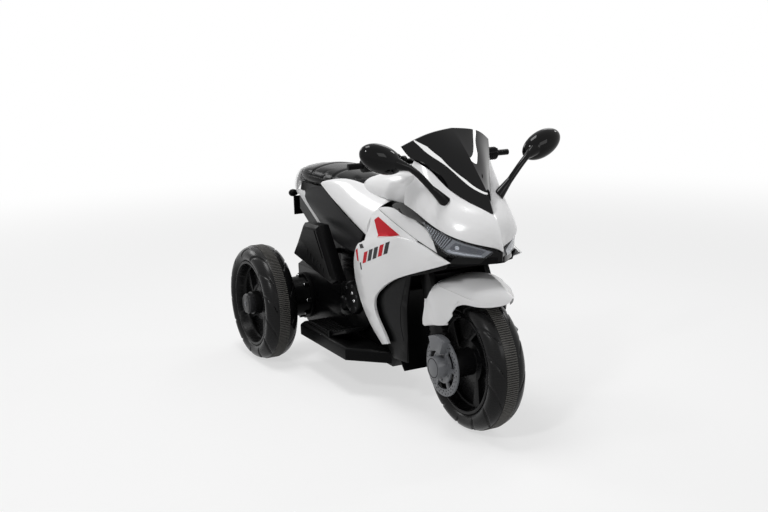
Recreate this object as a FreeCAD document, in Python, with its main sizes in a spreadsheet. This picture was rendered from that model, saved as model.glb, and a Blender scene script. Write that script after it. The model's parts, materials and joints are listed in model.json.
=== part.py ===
# Kids electric motorbike: a battery ride-on toy with one steered front wheel and two driven rear
# wheels. Millimetres; +X forward, +Y left, +Z up, ground at zero, origin midway between the axles.
import FreeCAD, Part
import math
import os

import Sketcher

Vector = FreeCAD.Vector

# The crown of the tank cover in the body's height; the handlebar stands above it.
tank_crown_share = 0.782

# Driving sizes, one group per area; each becomes a named cell of the sheet.
driving_sizes = {
    "wheels": {
        "wheelbase": 660,
        "wheel_radius": 135,
        "rear_track": 344,
        "tyre_width": 76,
        "tyre_height": 35,
        "bead_inset": 8,
        "tread_strip_width": 26,
        "tread_strip_rise": 1.6,
        "rim_width": 66,
        "rim_edge_wall": 6,
        "rim_middle_wall": 11,
        "web_thickness": 20,
        "hub_radius": 27,
        "hub_outer_length": 30,
        "spoke_count": 5,
        "axle_radius": 6,
        "running_gap": 0.06,
        "side_play": 0.5,
        "hub_cap_radius": 24,
        "hub_cap_depth": 14,
        "hub_cap_wall": 3,
        "nut_radius": 10.5,
        "nut_height": 8,
        "nut_sides": 6,
    },
    "fork and steering": {
        "rake_angle": 22,
        "fork_clear_width": 112,
        "fork_leg_thickness": 12,
        "fork_leg_width": 46,
        "fork_yoke_height": 24,
        "fork_yoke_gap": 8,
        "fork_yoke_width": 40,
        "fork_rib_count": 6,
        "fork_rib_pitch": 9,
        "fork_rib_width": 4,
        "fork_rib_rise": 3,
        "fender_gap": 32,
        "fender_wall": 3,
        "fender_half_width": 73,
        "fender_front_angle": 42,
        "fender_rear_angle": 134,
        "column_radius": 12,
        "column_collar_radius": 22,
        "column_collar_height": 3.5,
        "head_length": 94,
        "head_block_width": 62,
        "bar_rise": 22.7,
        "bar_half_length": 182,
        "bar_radius": 6,
        "grip_radius": 12.5,
        "grip_clearance": 0.3,
        "grip_length": 80,
        "grip_inset": 30,
        "grip_flange_radius": 17,
        "grip_flange_width": 4,
        "clamp_width": 46,
        "clamp_depth": 40,
        "clamp_height": 34,
        "lever_reach": 24,
        "lever_thickness": 8,
        "lever_collar_radius": 12,
        "lever_collar_width": 14,
        "brake_disc_radius": 58,
        "brake_disc_thickness": 4,
        "brake_disc_slots": 6,
        "brake_cap_radius": 22,
        "brake_cap_depth": 20,
        "caliper_depth": 13,
        "caliper_start_angle": 64,
        "caliper_end_angle": 116,
        "steering_clearance": 6,
    },
    "chassis": {
        "body_height": 450,
        "body_half_width": 100,
        "frame_half_width": 60,
        "frame_wall": 4,
        "tub_floor": 72,
        "tub_top": 205,
        "tub_rear_reach": 42,
        "battery_length": 90,
        "battery_width": 70,
        "battery_height": 100,
        "terminal_radius": 4,
        "terminal_height": 7,
        "gearbox_radius": 47,
        "gearbox_length": 65,
        "gearbox_flange_radius": 55,
        "gearbox_flange_width": 10,
        "gearbox_lug_count": 8,
        "gearbox_lug_radius": 5,
        "motor_radius": 18,
        "motor_length": 42,
        "motor_offset": 62,
        "axle_free_gap": 0.5,
    },
    "footboards": {
        "footboard_rear": -222,
        "footboard_front": 28,
        "footboard_point": 74,
        "footboard_outer": 131,
        "footboard_bottom": 77,
        "footboard_height": 27,
        "footboard_round": 7,
        "footboard_rib_height": 3,
        "footboard_rib_width": 6,
        "footboard_rib_count": 4,
        "pedal_length": 84,
        "pedal_width": 46,
        "pedal_heel": -66,
        "pedal_middle": 98,
        "pedal_thickness": 9,
        "pedal_lift_angle": 14,
        "pedal_pin_radius": 3,
        "pedal_pin_height": 9,
        "pedal_lug_thickness": 5,
        "pedal_rib_count": 5,
        "pedal_rib_rise": 2,
    },
    "panels": {
        "panel_wall": 3.5,
        "panel_step": 4,
        "panel_gap": 0.6,
        "belly_inset": 7,
        "boss_radius": 6,
        "liner_wall": 4,
        "liner_start_angle": 136,
        "liner_end_angle": 199,
        "nose_wall": 3.5,
        "nose_bulge": 9,
        "screen_wall": 4,
        "lens_wall": 2.5,
        "lens_gap": 0.4,
        "bracket_height": 6,
        "tail_wall": 3.5,
        "muffler_width": 30,
        "muffler_chamfer": 7,
        "engine_plate": 12,
        "engine_disc_radius": 37,
        "engine_disc_height": 11,
    },
    "fittings": {
        "mirror_length": 90,
        "mirror_height": 52,
        "mirror_depth": 46,
        "mirror_tilt": 24,
        "mirror_arm_radius": 6,
        "mirror_neck_radius": 17,
        "mirror_foot_radius": 11,
        "console_length": 116,
        "console_width": 62,
        "console_thickness": 14,
        "console_rise": 3,
        "console_tilt": 7,
        "button_radius": 9,
        "button_height": 9,
        "button_proud": 4,
        "button_travel": 2.5,
        "button_gap": 0.3,
        "rocker_length": 24,
        "rocker_width": 14,
        "rocker_height": 9,
        "rocker_room": 0.9,
        "socket_radius": 9,
        "socket_depth": 16,
        "socket_bore": 2.9,
        "socket_bore_depth": 10,
        "plate_width": 80,
        "plate_height": 46,
        "plate_thickness": 4,
        "indicator_radius": 9,
        "indicator_stalk": 4,
        "lamp_thickness": 5,
    },
}

doc = FreeCAD.newDocument("kids_motorbike")
sheet = doc.addObject("Spreadsheet::Sheet", "Sizes")
row = 1
for group, sizes in driving_sizes.items():
    sheet.set(f"A{row}", group)
    row += 1
    for name, value in sizes.items():
        sheet.set(f"A{row}", name)
        sheet.set(f"B{row}", str(value))
        sheet.setAlias(f"B{row}", name)
        row += 1
# The handlebar's place up the raked column follows the tank cover's crown.
sheet.set(f"A{row}", "bar_height")
sheet.set(f"B{row}", f"=(body_height * {tank_crown_share} + bar_rise) / cos(rake_angle)")
sheet.setAlias(f"B{row}", "bar_height")
doc.recompute()

nodes = {}


def size(name):
    return float(sheet.get(name))


# Document helpers

def keep(label, item):
    # Register a finished sub-part under its node name.
    item.Label = label
    nodes[label] = item
    return item


def feature(label, shape):
    item = doc.addObject("Part::Feature", label)
    item.Shape = shape
    return keep(label, item)


def mirror_pair(name, shape):
    # The right piece as made, and its left twin mirrored across the middle plane.
    right = feature("right_" + name, shape)
    left = doc.addObject("Part::Mirroring", "left_" + name)
    left.Source = right
    left.Normal = Vector(0, 1, 0)
    keep("left_" + name, left)


def origin_part(body, role):
    return next(item for item in body.Origin.OriginFeatures if item.Role == role)


def new_body(label):
    return keep(label, doc.addObject("PartDesign::Body", label))


def place_body(body, spots, turn=None):
    # Base from three expressions, then an optional fixed turn.
    if turn is not None:
        body.Placement = FreeCAD.Placement(Vector(0, 0, 0), turn)
    for axis, spot in zip("xyz", spots):
        body.setExpression("Placement.Base." + axis, spot)


def new_sketch(body, role):
    sketch = body.newObject("Sketcher::SketchObject", body.Name + "_sketch")
    sketch.AttachmentSupport = (origin_part(body, role), [""])
    sketch.MapMode = "FlatFace"
    return sketch


def pin_point(sketch, part_index, part_end, spot):
    # Hold one sketch point by two expressions, on an axis where the expression is zero.
    for kind, axis, rule in zip(("DistanceX", "DistanceY"), (-2, -1), spot):
        if rule == "0":
            sketch.addConstraint(Sketcher.Constraint("PointOnObject", part_index, part_end, axis))
            continue
        held = float(sketch.evalExpression(rule))
        index = sketch.addConstraint(Sketcher.Constraint(kind, -1, 1, part_index, part_end, held))
        sketch.setExpression(f"Constraints[{index}]", rule)


def draw_loop(sketch, stretches):
    # A closed loop; each stretch is (end,) for a line or (middle, end) for an arc.
    def flat(spot):
        return Vector(*[float(sketch.evalExpression(rule)) for rule in spot], 0)

    first = sketch.GeometryCount
    start = stretches[-1][-1]
    edges = []
    middles = []
    for stretch in stretches:
        end = stretch[-1]
        if len(stretch) == 1:
            edges.append(Part.LineSegment(flat(start), flat(end)))
        else:
            middles.append((len(edges), stretch[0]))
            edges.append(Part.Arc(flat(start), flat(stretch[0]), flat(end)))
        start = end
    for edge in edges:
        sketch.addGeometry(edge)
    ends = []
    for index, edge in enumerate(edges):
        start_point = sketch.getPoint(first + index, 1)
        wanted = flat(stretches[index - 1][-1])
        ends.append((1, 2) if start_point.isEqual(wanted, size("running_gap")) else (2, 1))
    for index in range(len(edges)):
        after = (index + 1) % len(edges)
        sketch.addConstraint(Sketcher.Constraint(
            "Coincident", first + index, ends[index][1], first + after, ends[after][0]))
        pin_point(sketch, first + index, ends[index][1], stretches[index][-1])
    for index, middle in middles:
        point = sketch.addGeometry(Part.Point(flat(middle)), True)
        pin_point(sketch, point, 1, middle)
        sketch.addConstraint(Sketcher.Constraint("PointOnObject", point, 1, first + index))


def draw_lines(sketch, spots):
    draw_loop(sketch, [(spot,) for spot in spots])


def revolve(body, sketch):
    turned = body.newObject("PartDesign::Revolution", body.Name + "_turned")
    turned.Profile = sketch
    turned.ReferenceAxis = (sketch, ["H_Axis"])
    turned.Angle = 360
    return turned


def turned_body(label, spots, place, turn=None):
    # A turned piece: an outline of (along, radius) expressions spun about the body's own Y axis.
    body = new_body(label)
    sketch = new_sketch(body, "YZ_Plane")
    draw_lines(sketch, spots)
    revolve(body, sketch)
    place_body(body, place, turn)
    return body


def pad(body, sketch, length, middle=False, backwards=False):
    padded = body.newObject("PartDesign::Pad", body.Name + "_pad")
    padded.Profile = sketch
    padded.setExpression("Length", length)
    padded.Midplane = middle
    padded.Reversed = backwards
    return padded


def through_pocket(body, sketch):
    pocket = body.newObject("PartDesign::Pocket", body.Name + "_pocket")
    pocket.Profile = sketch
    pocket.Type = "ThroughAll"
    pocket.Midplane = True
    return pocket


def ring_of(body, original, axis_role, count):
    pattern = body.newObject("PartDesign::PolarPattern", body.Name + "_ring")
    pattern.Originals = [original]
    pattern.Axis = (origin_part(body, axis_role), [""])
    pattern.Angle = 360
    pattern.setExpression("Occurrences", count)
    body.Tip = pattern
    return pattern


# Shape helpers for the formed panels

def at(along, across, up):
    # A point of the right side from shares of the wheelbase, the body half width and height.
    return Vector(size("wheelbase") * along, -size("body_half_width") * across,
                  size("wheel_radius") + size("body_height") * up)


def curve_through(points):
    # A line between two points, a smooth curve through more.
    if len(points) == 2:
        return Part.LineSegment(*points).toShape()
    curve = Part.BSplineCurve()
    curve.interpolate(points)
    return curve.toShape()


def loop_wire(stretches):
    # A closed loop; each stretch of points starts where the one before it ended.
    edges = []
    start = stretches[-1][-1]
    for stretch in stretches:
        edges.append(curve_through([start] + stretch))
        start = stretch[-1]
    return Part.Wire(edges)


def side_outline(stretches):
    # A closed side-view outline from stretches of (along, up) shares.
    return Part.Face(loop_wire([[at(along, 0, up) for along, up in stretch] for stretch in stretches]))


def prism(face, inner, outer):
    # The outline as a solid of the right side, between two distances from the middle plane.
    moved = face.translated(Vector(0, -outer, 0))
    return moved.extrude(Vector(0, outer - inner, 0))


def patch(rows):
    surface = Part.BSplineSurface()
    surface.interpolate(rows)
    return surface.toShape()


def largest(shape):
    return max(shape.Solids, key=lambda solid: solid.Volume)


def rod(start, end, radius):
    way = end - start
    return Part.makeCylinder(radius, way.Length, start, way)


def side_reach(x, z):
    # How far the side panels stand from the middle plane at a place of the side view.
    along = x / size("wheelbase") - side_peak_share[0]
    up = (z - size("wheel_radius")) / size("body_height") - side_peak_share[1]
    drop = side_drop_shares[0] * along ** 2 + side_drop_shares[1] * up ** 2
    return size("body_half_width") * (1 - drop)


def side_skin(offset, thickness):
    # A sheet following the side form, its outer face moved out by the offset.
    rows = []
    for along in side_grid_along_shares:
        line = []
        for up in side_grid_up_shares:
            spot = at(along, 0, up)
            line.append(Vector(spot.x, -side_reach(spot.x, spot.z) - offset, spot.z))
        rows.append(line)
    return patch(rows).extrude(Vector(0, thickness, 0))


def side_boss(share, offset):
    # A screw boss from the frame's side to just inside a side panel.
    spot = at(share[0], 0, share[1])
    reach = side_reach(spot.x, spot.z) + offset
    start = Vector(spot.x, -size("frame_half_width"), spot.z)
    end = Vector(spot.x, -reach, spot.z)
    return rod(start, end, size("boss_radius"))


side_peak_share = (0.144, 0.333)
side_drop_shares = (1.1, 1.26)
side_grid_along_shares = (-0.01, 0.15, 0.3, 0.45, 0.62)
side_grid_up_shares = (-0.13, 0.07, 0.27, 0.47, 0.68)

front_axle = ("Sizes.wheelbase / 2", "0", "Sizes.wheel_radius")
axle_centre = Vector(size("wheelbase") / 2, 0, size("wheel_radius"))
rake = math.radians(size("rake_angle"))
steer_up = Vector(-math.sin(rake), 0, math.cos(rake))
steer_fore = Vector(math.cos(rake), 0, math.sin(rake))
steer_turn = FreeCAD.Rotation(Vector(0, 1, 0), steer_up)
fender_radius = size("wheel_radius") + size("fender_gap") + size("fender_wall")
yoke_start = fender_radius + size("fork_yoke_gap")
yoke_end = yoke_start + size("fork_yoke_height")
head_start = yoke_end + size("column_collar_height") + size("side_play")
head_end = head_start + size("head_length")
leg_inner = size("fork_clear_width") / 2
leg_outer = leg_inner + size("fork_leg_thickness")
sweep_radius = fender_radius + size("steering_clearance")


def steer(up, fore, across):
    # A point of the steered assembly: along the steering axis, forward of it, to the left.
    return axle_centre + steer_up * up + steer_fore * fore + Vector(0, across, 0)


def wheel_spot(radius, angle):
    # A point of the middle plane at a distance and an angle in degrees about the front axle.
    turn = math.radians(angle)
    return axle_centre + Vector(math.cos(turn), 0, math.sin(turn)) * radius


def steer_prism(spots, inner, outer):
    # An outline of (up, fore) places in the fork's own plane, between two signed Y values.
    points = [steer(up, fore, inner) for up, fore in spots]
    wire = Part.makePolygon(points + points[:1])
    return Part.Face(wire).extrude(Vector(0, outer - inner, 0))


# Wheels: hollow-look tyres on five-spoke rims

tyre_shares = {
    "side_height": 0.31,
    "shoulder_height": 0.66,
    "shoulder_width": 0.9,
    "crown_height": 0.87,
    "crown_width": 0.66,
}
window_outer_share = 0.86
window_inner_share = 0.42
window_start_shares = (0.06, 0.36)
window_span_share = 0.78


def make_tyre(label, place):
    body = new_body(label)
    sketch = new_sketch(body, "YZ_Plane")
    bead = "(Sizes.wheel_radius - Sizes.tyre_height)"

    def spot(sign, width, height):
        return (f"{sign} * Sizes.tyre_width / 2 * {width}", f"{bead} + Sizes.tyre_height * {height}")

    def half(sign):
        return {
            "bead": (f"{sign} * (Sizes.tyre_width / 2 - Sizes.bead_inset)", bead),
            "side": spot(sign, 1, tyre_shares["side_height"]),
            "shoulder": spot(sign, tyre_shares["shoulder_width"], tyre_shares["shoulder_height"]),
            "crown": spot(sign, tyre_shares["crown_width"], tyre_shares["crown_height"]),
            "foot": (f"{sign} * Sizes.tread_strip_width / 2",
                     "Sizes.wheel_radius - Sizes.tread_strip_rise"),
            "top": (f"{sign} * Sizes.tread_strip_width / 2", "Sizes.wheel_radius"),
        }

    right = half(-1)
    left = half(1)
    draw_loop(sketch, [
        (left["side"], left["shoulder"]),
        (left["crown"], left["foot"]),
        (left["top"],),
        (right["top"],),
        (right["foot"],),
        (right["crown"], right["shoulder"]),
        (right["side"], right["bead"]),
        (left["bead"],),
    ])
    revolve(body, sketch)
    place_body(body, place)


def make_rim(label, place, right_end, left_end):
    # Barrel, web and hub in one turning, then a ring of slanted windows leaves the spokes.
    body = new_body(label)
    sketch = new_sketch(body, "YZ_Plane")
    seat = "Sizes.wheel_radius - Sizes.tyre_height"
    edge = f"{seat} - Sizes.rim_edge_wall"
    middle = f"{seat} - Sizes.rim_middle_wall"
    bore = "Sizes.axle_radius + Sizes.running_gap"
    draw_lines(sketch, [
        ("-Sizes.rim_width / 2", seat),
        ("Sizes.rim_width / 2", seat),
        ("Sizes.rim_width / 2", edge),
        ("Sizes.web_thickness / 2", middle),
        ("Sizes.web_thickness / 2", "Sizes.hub_radius"),
        (left_end, "Sizes.hub_radius"),
        (left_end, bore),
        (f"-({right_end})", bore),
        (f"-({right_end})", "Sizes.hub_radius"),
        ("-Sizes.web_thickness / 2", "Sizes.hub_radius"),
        ("-Sizes.web_thickness / 2", middle),
        ("-Sizes.rim_width / 2", edge),
    ])
    revolve(body, sketch)
    window = new_sketch(body, "XZ_Plane")

    def polar(share, turn):
        radius = f"({seat}) * {share}"
        angle = f"{turn} * 360 / Sizes.spoke_count"
        return (f"{radius} * cos({angle})", f"{radius} * sin({angle})")

    outer_start, inner_start = window_start_shares
    outer_end = outer_start + window_span_share
    inner_end = inner_start + window_span_share
    draw_loop(window, [
        (polar(window_outer_share, (outer_start + outer_end) / 2),
         polar(window_outer_share, outer_end)),
        (polar(window_inner_share, inner_end),),
        (polar(window_inner_share, (inner_start + inner_end) / 2),
         polar(window_inner_share, inner_start)),
        (polar(window_outer_share, outer_start),),
    ])
    pocket = through_pocket(body, window)
    ring_of(body, pocket, "Y_Axis", "Sizes.spoke_count")
    place_body(body, place)


def make_hub_cap(label, place, sign):
    # A cup over the axle end, its open side against the hub.
    def out(depth):
        return f"{sign} * (Sizes.hub_outer_length + {depth})"

    shoulder = "Sizes.hub_cap_radius - Sizes.hub_cap_wall"
    turned_body(label, [
        (out("0"), "Sizes.hub_cap_radius"),
        (out("Sizes.hub_cap_depth - Sizes.hub_cap_wall"), "Sizes.hub_cap_radius"),
        (out("Sizes.hub_cap_depth"), shoulder),
        (out("Sizes.hub_cap_depth"), "0"),
        (out("Sizes.hub_cap_depth - Sizes.hub_cap_wall"), "0"),
        (out("Sizes.hub_cap_depth - Sizes.hub_cap_wall"), shoulder),
        (out("0"), shoulder),
    ], place)


front_hub = "Sizes.fork_clear_width / 2 - Sizes.side_play"
rear_hub_inner = ("Sizes.rear_track / 2 - Sizes.frame_half_width - Sizes.gearbox_length"
                  " - Sizes.side_play")
make_tyre("front_tyre", front_axle)
make_rim("front_rim", front_axle, front_hub, front_hub)
for side_name, sign in (("right", -1), ("left", 1)):
    rear_place = ("-Sizes.wheelbase / 2", f"{sign} * Sizes.rear_track / 2", "Sizes.wheel_radius")
    make_tyre(f"rear_{side_name}_tyre", rear_place)
    hub_ends = ("Sizes.hub_outer_length", rear_hub_inner)
    right_end, left_end = hub_ends if sign < 0 else hub_ends[::-1]
    make_rim(f"rear_{side_name}_rim", rear_place, right_end, left_end)
    make_hub_cap(f"rear_{side_name}_hub_cap", rear_place, sign)


# Axles and nuts

axle_end = "(Sizes.rear_track / 2 + Sizes.hub_outer_length + Sizes.side_play + Sizes.nut_height)"


def make_axle(label, place, end):
    turned_body(label, [
        (f"-{end}", "0"),
        (f"-{end}", "Sizes.axle_radius"),
        (end, "Sizes.axle_radius"),
        (end, "0"),
    ], place)


make_axle("front_axle", front_axle,
          "(Sizes.fork_clear_width / 2 + Sizes.fork_leg_thickness + Sizes.brake_disc_thickness"
          " + Sizes.nut_height)")
make_axle("rear_axle", ("-Sizes.wheelbase / 2", "0", "Sizes.wheel_radius"), axle_end)


def make_rear_nuts():
    # Two hexagon nuts on the rear axle, one outside each wheel.
    solids = []
    along_y = FreeCAD.Rotation(Vector(1, 0, 0), -90)
    for name, start in (("right", f"-{axle_end}"), ("left", f"{axle_end} - Sizes.nut_height")):
        nut = doc.addObject("Part::Prism", f"rear_{name}_nut_blank")
        nut.setExpression("Polygon", "Sizes.nut_sides")
        nut.setExpression("Circumradius", "Sizes.nut_radius")
        nut.setExpression("Height", "Sizes.nut_height")
        hole = doc.addObject("Part::Cylinder", f"rear_{name}_nut_hole")
        hole.setExpression("Radius", "Sizes.axle_radius")
        hole.setExpression("Height", "Sizes.nut_height")
        for item in (nut, hole):
            place_body(item, ("-Sizes.wheelbase / 2", start, "Sizes.wheel_radius"), along_y)
        cut = doc.addObject("Part::Cut", f"rear_{name}_nut")
        cut.Base = nut
        cut.Tool = hole
        solids.append(cut)
    pair = doc.addObject("Part::Compound", "rear_axle_nuts")
    pair.Links = solids
    keep("rear_axle_nuts", pair)


make_rear_nuts()


# Steered front end: fork, fender, brake trims, column, handlebar and grips

leg_up_shares = (-0.11, 0.0, 0.25, 0.75, 1.0)
leg_half_width_shares = (0.28, 0.44, 0.5, 0.5, 0.38)
rib_start_share = 0.16
fender_turn_shares = (0.0, 0.09, 0.2, 0.33, 0.48, 0.65, 0.83, 1.0)
fender_ridge_shares = (1.22, 1.19, 1.125, 1.06, 1.03, 1.0, 1.0, 1.0)
fender_half_shares = (0.08, 0.36, 0.6, 0.74, 0.92, 1.0, 1.0, 1.0)
fender_across_shares = (0.0, 0.45, 0.8, 0.97, 1.0, 1.0)
fender_drop_shares = (0.0, 0.03, 0.1, 0.22, 0.42, 0.62)
fender_edge_shares = [[(0.7, 0.775), (0.543, 0.742), (0.396, 0.757), (0.246, 0.745), (0.15, 0.68)],
                      [(0.129, 0.5)], [(-0.326, 0.403)], [(-0.356, 0.772)], [(-0.44, 0.9)],
                      [(-0.56, 1.1)], [(-0.3, 1.35)], [(0.9, 1.35)], [(1.1, 1.1)], [(0.8, 0.915)]]
lever_across_shares = (0.4, 0.46, 0.5, 0.9, 0.95, 0.91, 0.48, 0.41)
lever_fore_shares = (0.25, 0.25, 0.85, 0.92, 1.0, 1.1, 1.1, 0.72)


def leg_block(grow):
    # The plain right leg, or the room it needs when grown.
    spots = [(yoke_start * up, -size("fork_leg_width") * half - grow)
             for up, half in zip(leg_up_shares, leg_half_width_shares)]
    spots += [(up, -fore) for up, fore in reversed(spots)]
    return steer_prism(spots, -leg_outer - grow, -leg_inner + grow)


def fork_leg():
    leg = leg_block(0)
    reach = size("fork_leg_width") / 2 + size("fork_rib_rise")
    for index in range(int(size("fork_rib_count"))):
        low = yoke_start * rib_start_share + size("fork_rib_pitch") * index
        high = low + size("fork_rib_width")
        rib = steer_prism([(low, -reach), (low, reach), (high, reach), (high, -reach)],
                          -leg_outer, -leg_inner)
        leg = leg.fuse(rib)
    return leg


def make_fork():
    # Two ribbed legs under one yoke, drilled for the wheel axle.
    leg = fork_leg()
    half = size("fork_yoke_width") / 2
    yoke = steer_prism([(yoke_start, -half), (yoke_start, half), (yoke_end, half), (yoke_end, -half)],
                       -leg_outer, leg_outer)
    fork = leg.fuse([leg.mirror(Vector(0, 0, 0), Vector(0, 1, 0)), yoke])
    hole = rod(axle_centre - Vector(0, leg_outer, 0), axle_centre + Vector(0, leg_outer, 0),
               size("axle_radius"))
    feature("fork", largest(fork.cut(hole).removeSplitter()))


def fender_section(angle, ridge, half_share):
    # A closed loop across the shell at one angle: outer curve, inner curve and both edges.
    half = size("fender_half_width") * half_share
    lines = []
    for wall in (0, size("fender_wall")):
        right = []
        for across, drop in zip(fender_across_shares, fender_drop_shares):
            spot = wheel_spot(fender_radius * ridge * (1 - drop) - wall, angle)
            right.append(spot - Vector(0, (half - wall) * across, 0))
        left = [Vector(spot.x, -spot.y, spot.z) for spot in right[:0:-1]]
        lines.append(left + right)
    outer, inner = lines
    back = inner[::-1]
    return loop_wire([back[:1], back[1:], outer[:1], outer[1:]])


def make_fender():
    # A beaked shell over the tyre whose skirts run down outside the fork legs.
    front = size("fender_front_angle")
    span = size("fender_rear_angle") - front
    wires = [fender_section(front + span * turn, ridge, half) for turn, ridge, half
             in zip(fender_turn_shares, fender_ridge_shares, fender_half_shares)]
    edge = loop_wire([[axle_centre + Vector(along, 0, up) * fender_radius for along, up in stretch]
                      for stretch in fender_edge_shares])
    shell = Part.makeLoft(wires, True).common(prism(Part.Face(edge), -fender_radius, fender_radius))
    room = leg_block(size("side_play"))
    shell = shell.cut([room, room.mirror(Vector(0, 0, 0), Vector(0, 1, 0))])
    boss = rod(steer(fender_radius - size("fender_wall") / 2, 0, 0), steer(yoke_start, 0, 0),
               size("boss_radius"))
    feature("front_fender", largest(shell.fuse(boss).removeSplitter()))


slot_radius_shares = (0.56, 0.76)
slot_turn_shares = (0.1, 0.9)
caliper_radius_shares = (0.56, 1.06)


def make_brake_trim(label, sign):
    # Mock brake disc, caliper and hub cap moulded as one trim on the fork leg's outer face.
    wall = "Sizes.fender_wall"
    face = f"{sign} * Sizes.brake_disc_thickness"
    end = f"{sign} * (Sizes.brake_disc_thickness + Sizes.brake_cap_depth)"
    inside = f"{sign} * (Sizes.brake_disc_thickness + Sizes.brake_cap_depth - {wall})"
    bore = f"Sizes.brake_cap_radius - {wall}"
    leg_face = f"{sign} * (Sizes.fork_clear_width / 2 + Sizes.fork_leg_thickness)"
    body = turned_body(label, [
        ("0", bore),
        ("0", "Sizes.brake_disc_radius"),
        (face, "Sizes.brake_disc_radius"),
        (face, "Sizes.brake_cap_radius"),
        (end, "Sizes.brake_cap_radius"),
        (end, "0"),
        (inside, "0"),
        (inside, bore),
    ], (front_axle[0], leg_face, front_axle[2]))

    def polar(share, angle):
        radius = f"Sizes.brake_disc_radius * {share}"
        return (f"{radius} * cos({angle})", f"{radius} * sin({angle})")

    def sector(sketch, shares, start, end_angle):
        middle = f"(({start}) + ({end_angle})) / 2"
        draw_loop(sketch, [
            (polar(shares[1], middle), polar(shares[1], end_angle)),
            (polar(shares[0], end_angle),),
            (polar(shares[0], middle), polar(shares[0], start)),
            (polar(shares[1], start),),
        ])

    slot = new_sketch(body, "XZ_Plane")
    turn = "360 / Sizes.brake_disc_slots"
    sector(slot, slot_radius_shares, f"{slot_turn_shares[0]} * {turn}", f"{slot_turn_shares[1]} * {turn}")
    ring_of(body, through_pocket(body, slot), "Y_Axis", "Sizes.brake_disc_slots")
    caliper = new_sketch(body, "XZ_Plane")
    sector(caliper, caliper_radius_shares, "Sizes.caliper_start_angle", "Sizes.caliper_end_angle")
    pad(body, caliper, "Sizes.brake_disc_thickness + Sizes.caliper_depth", backwards=sign > 0)


yoke_end_rule = ("(Sizes.wheel_radius + Sizes.fender_gap + Sizes.fender_wall + Sizes.fork_yoke_gap"
                 " + Sizes.fork_yoke_height)")


def make_column():
    # The turning tube between the yoke and the handlebar clamp, with a thrust collar.
    spots = [
        (yoke_end_rule, "0"),
        (yoke_end_rule, "Sizes.column_collar_radius"),
        (f"{yoke_end_rule} + Sizes.column_collar_height", "Sizes.column_collar_radius"),
        (f"{yoke_end_rule} + Sizes.column_collar_height", "Sizes.column_radius"),
        ("Sizes.bar_height - Sizes.clamp_height / 2", "Sizes.column_radius"),
        ("Sizes.bar_height - Sizes.clamp_height / 2", "0"),
    ]
    turned_body("steering_column", spots, front_axle, steer_turn)


def lever():
    # Collar round the bar and a curved blade in front of the right grip.
    height = size("bar_height")
    half = size("lever_thickness") / 2
    end = size("bar_half_length") - size("grip_inset")
    points = [steer(height - half, size("lever_reach") * fore, -end * across)
              for across, fore in zip(lever_across_shares, lever_fore_shares)]
    wire = Part.makePolygon(points + points[:1])
    blade = Part.Face(wire).extrude(steer_up * size("lever_thickness"))
    clear = size("grip_clearance")
    flange = end - size("grip_length")
    blade = blade.cut(rod(steer(height, 0, clear - flange),
                          steer(height, 0, -flange - size("grip_flange_width") - clear),
                          size("grip_flange_radius") + clear))
    inner = flange - size("lever_collar_width") - size("side_play")
    collar = rod(steer(height, 0, -inner), steer(height, 0, -inner - size("lever_collar_width")),
                 size("lever_collar_radius"))
    return collar.fuse(blade)


def make_handlebar():
    height = size("bar_height")
    end = size("bar_half_length")
    bar = rod(steer(height, 0, -end), steer(height, 0, end), size("bar_radius"))
    depth = size("clamp_depth") / 2
    rise = size("clamp_height") / 2
    width = size("clamp_width") / 2
    clamp = steer_prism([(height - rise, -depth), (height - rise, depth), (height + rise, depth),
                         (height + rise, -depth)], -width, width)
    upright = [edge for edge in clamp.Edges
               if edge.tangentAt(0).cross(steer_up).Length < size("running_gap")]
    clamp = clamp.makeFillet(size("fork_rib_pitch"), upright)
    right = lever()
    left = right.mirror(Vector(0, 0, 0), Vector(0, 1, 0))
    feature("handlebar", largest(bar.fuse([clamp, right, left]).removeSplitter()))


def make_grip(label, sign):
    # A flanged sleeve on the bar, open where the bar's end runs out.
    end = "Sizes.bar_half_length - Sizes.grip_inset"
    inner = f"{end} - Sizes.grip_length"
    bore = "Sizes.bar_radius + Sizes.grip_clearance"

    def out(rule):
        return f"{sign} * ({rule})"

    turned_body(label, [
        (out(inner), bore),
        (out(inner), "Sizes.grip_flange_radius"),
        (out(f"{inner} + Sizes.grip_flange_width"), "Sizes.grip_flange_radius"),
        (out(f"{inner} + Sizes.grip_flange_width"), "Sizes.grip_radius"),
        (out(end), "Sizes.grip_radius"),
        (out(end), bore),
    ], ("Sizes.wheelbase / 2 - Sizes.bar_height * sin(Sizes.rake_angle)", "0",
        "Sizes.wheel_radius + Sizes.bar_height * cos(Sizes.rake_angle)"))


make_fork()
make_fender()
make_brake_trim("right_brake_trim", -1)
make_brake_trim("left_brake_trim", 1)
make_column()
make_handlebar()
make_grip("right_grip", -1)
make_grip("left_grip", 1)


# Chassis: tub, frame, axle drive and battery

tub_rear = "(-Sizes.wheelbase / 2 - Sizes.tub_rear_reach)"
tub_front = ("(Sizes.wheelbase / 2 - Sizes.wheel_radius - Sizes.fender_gap - Sizes.fender_wall"
             " - Sizes.steering_clearance - Sizes.liner_wall)")
tub_slope = "Sizes.tub_rear_reach"


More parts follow.
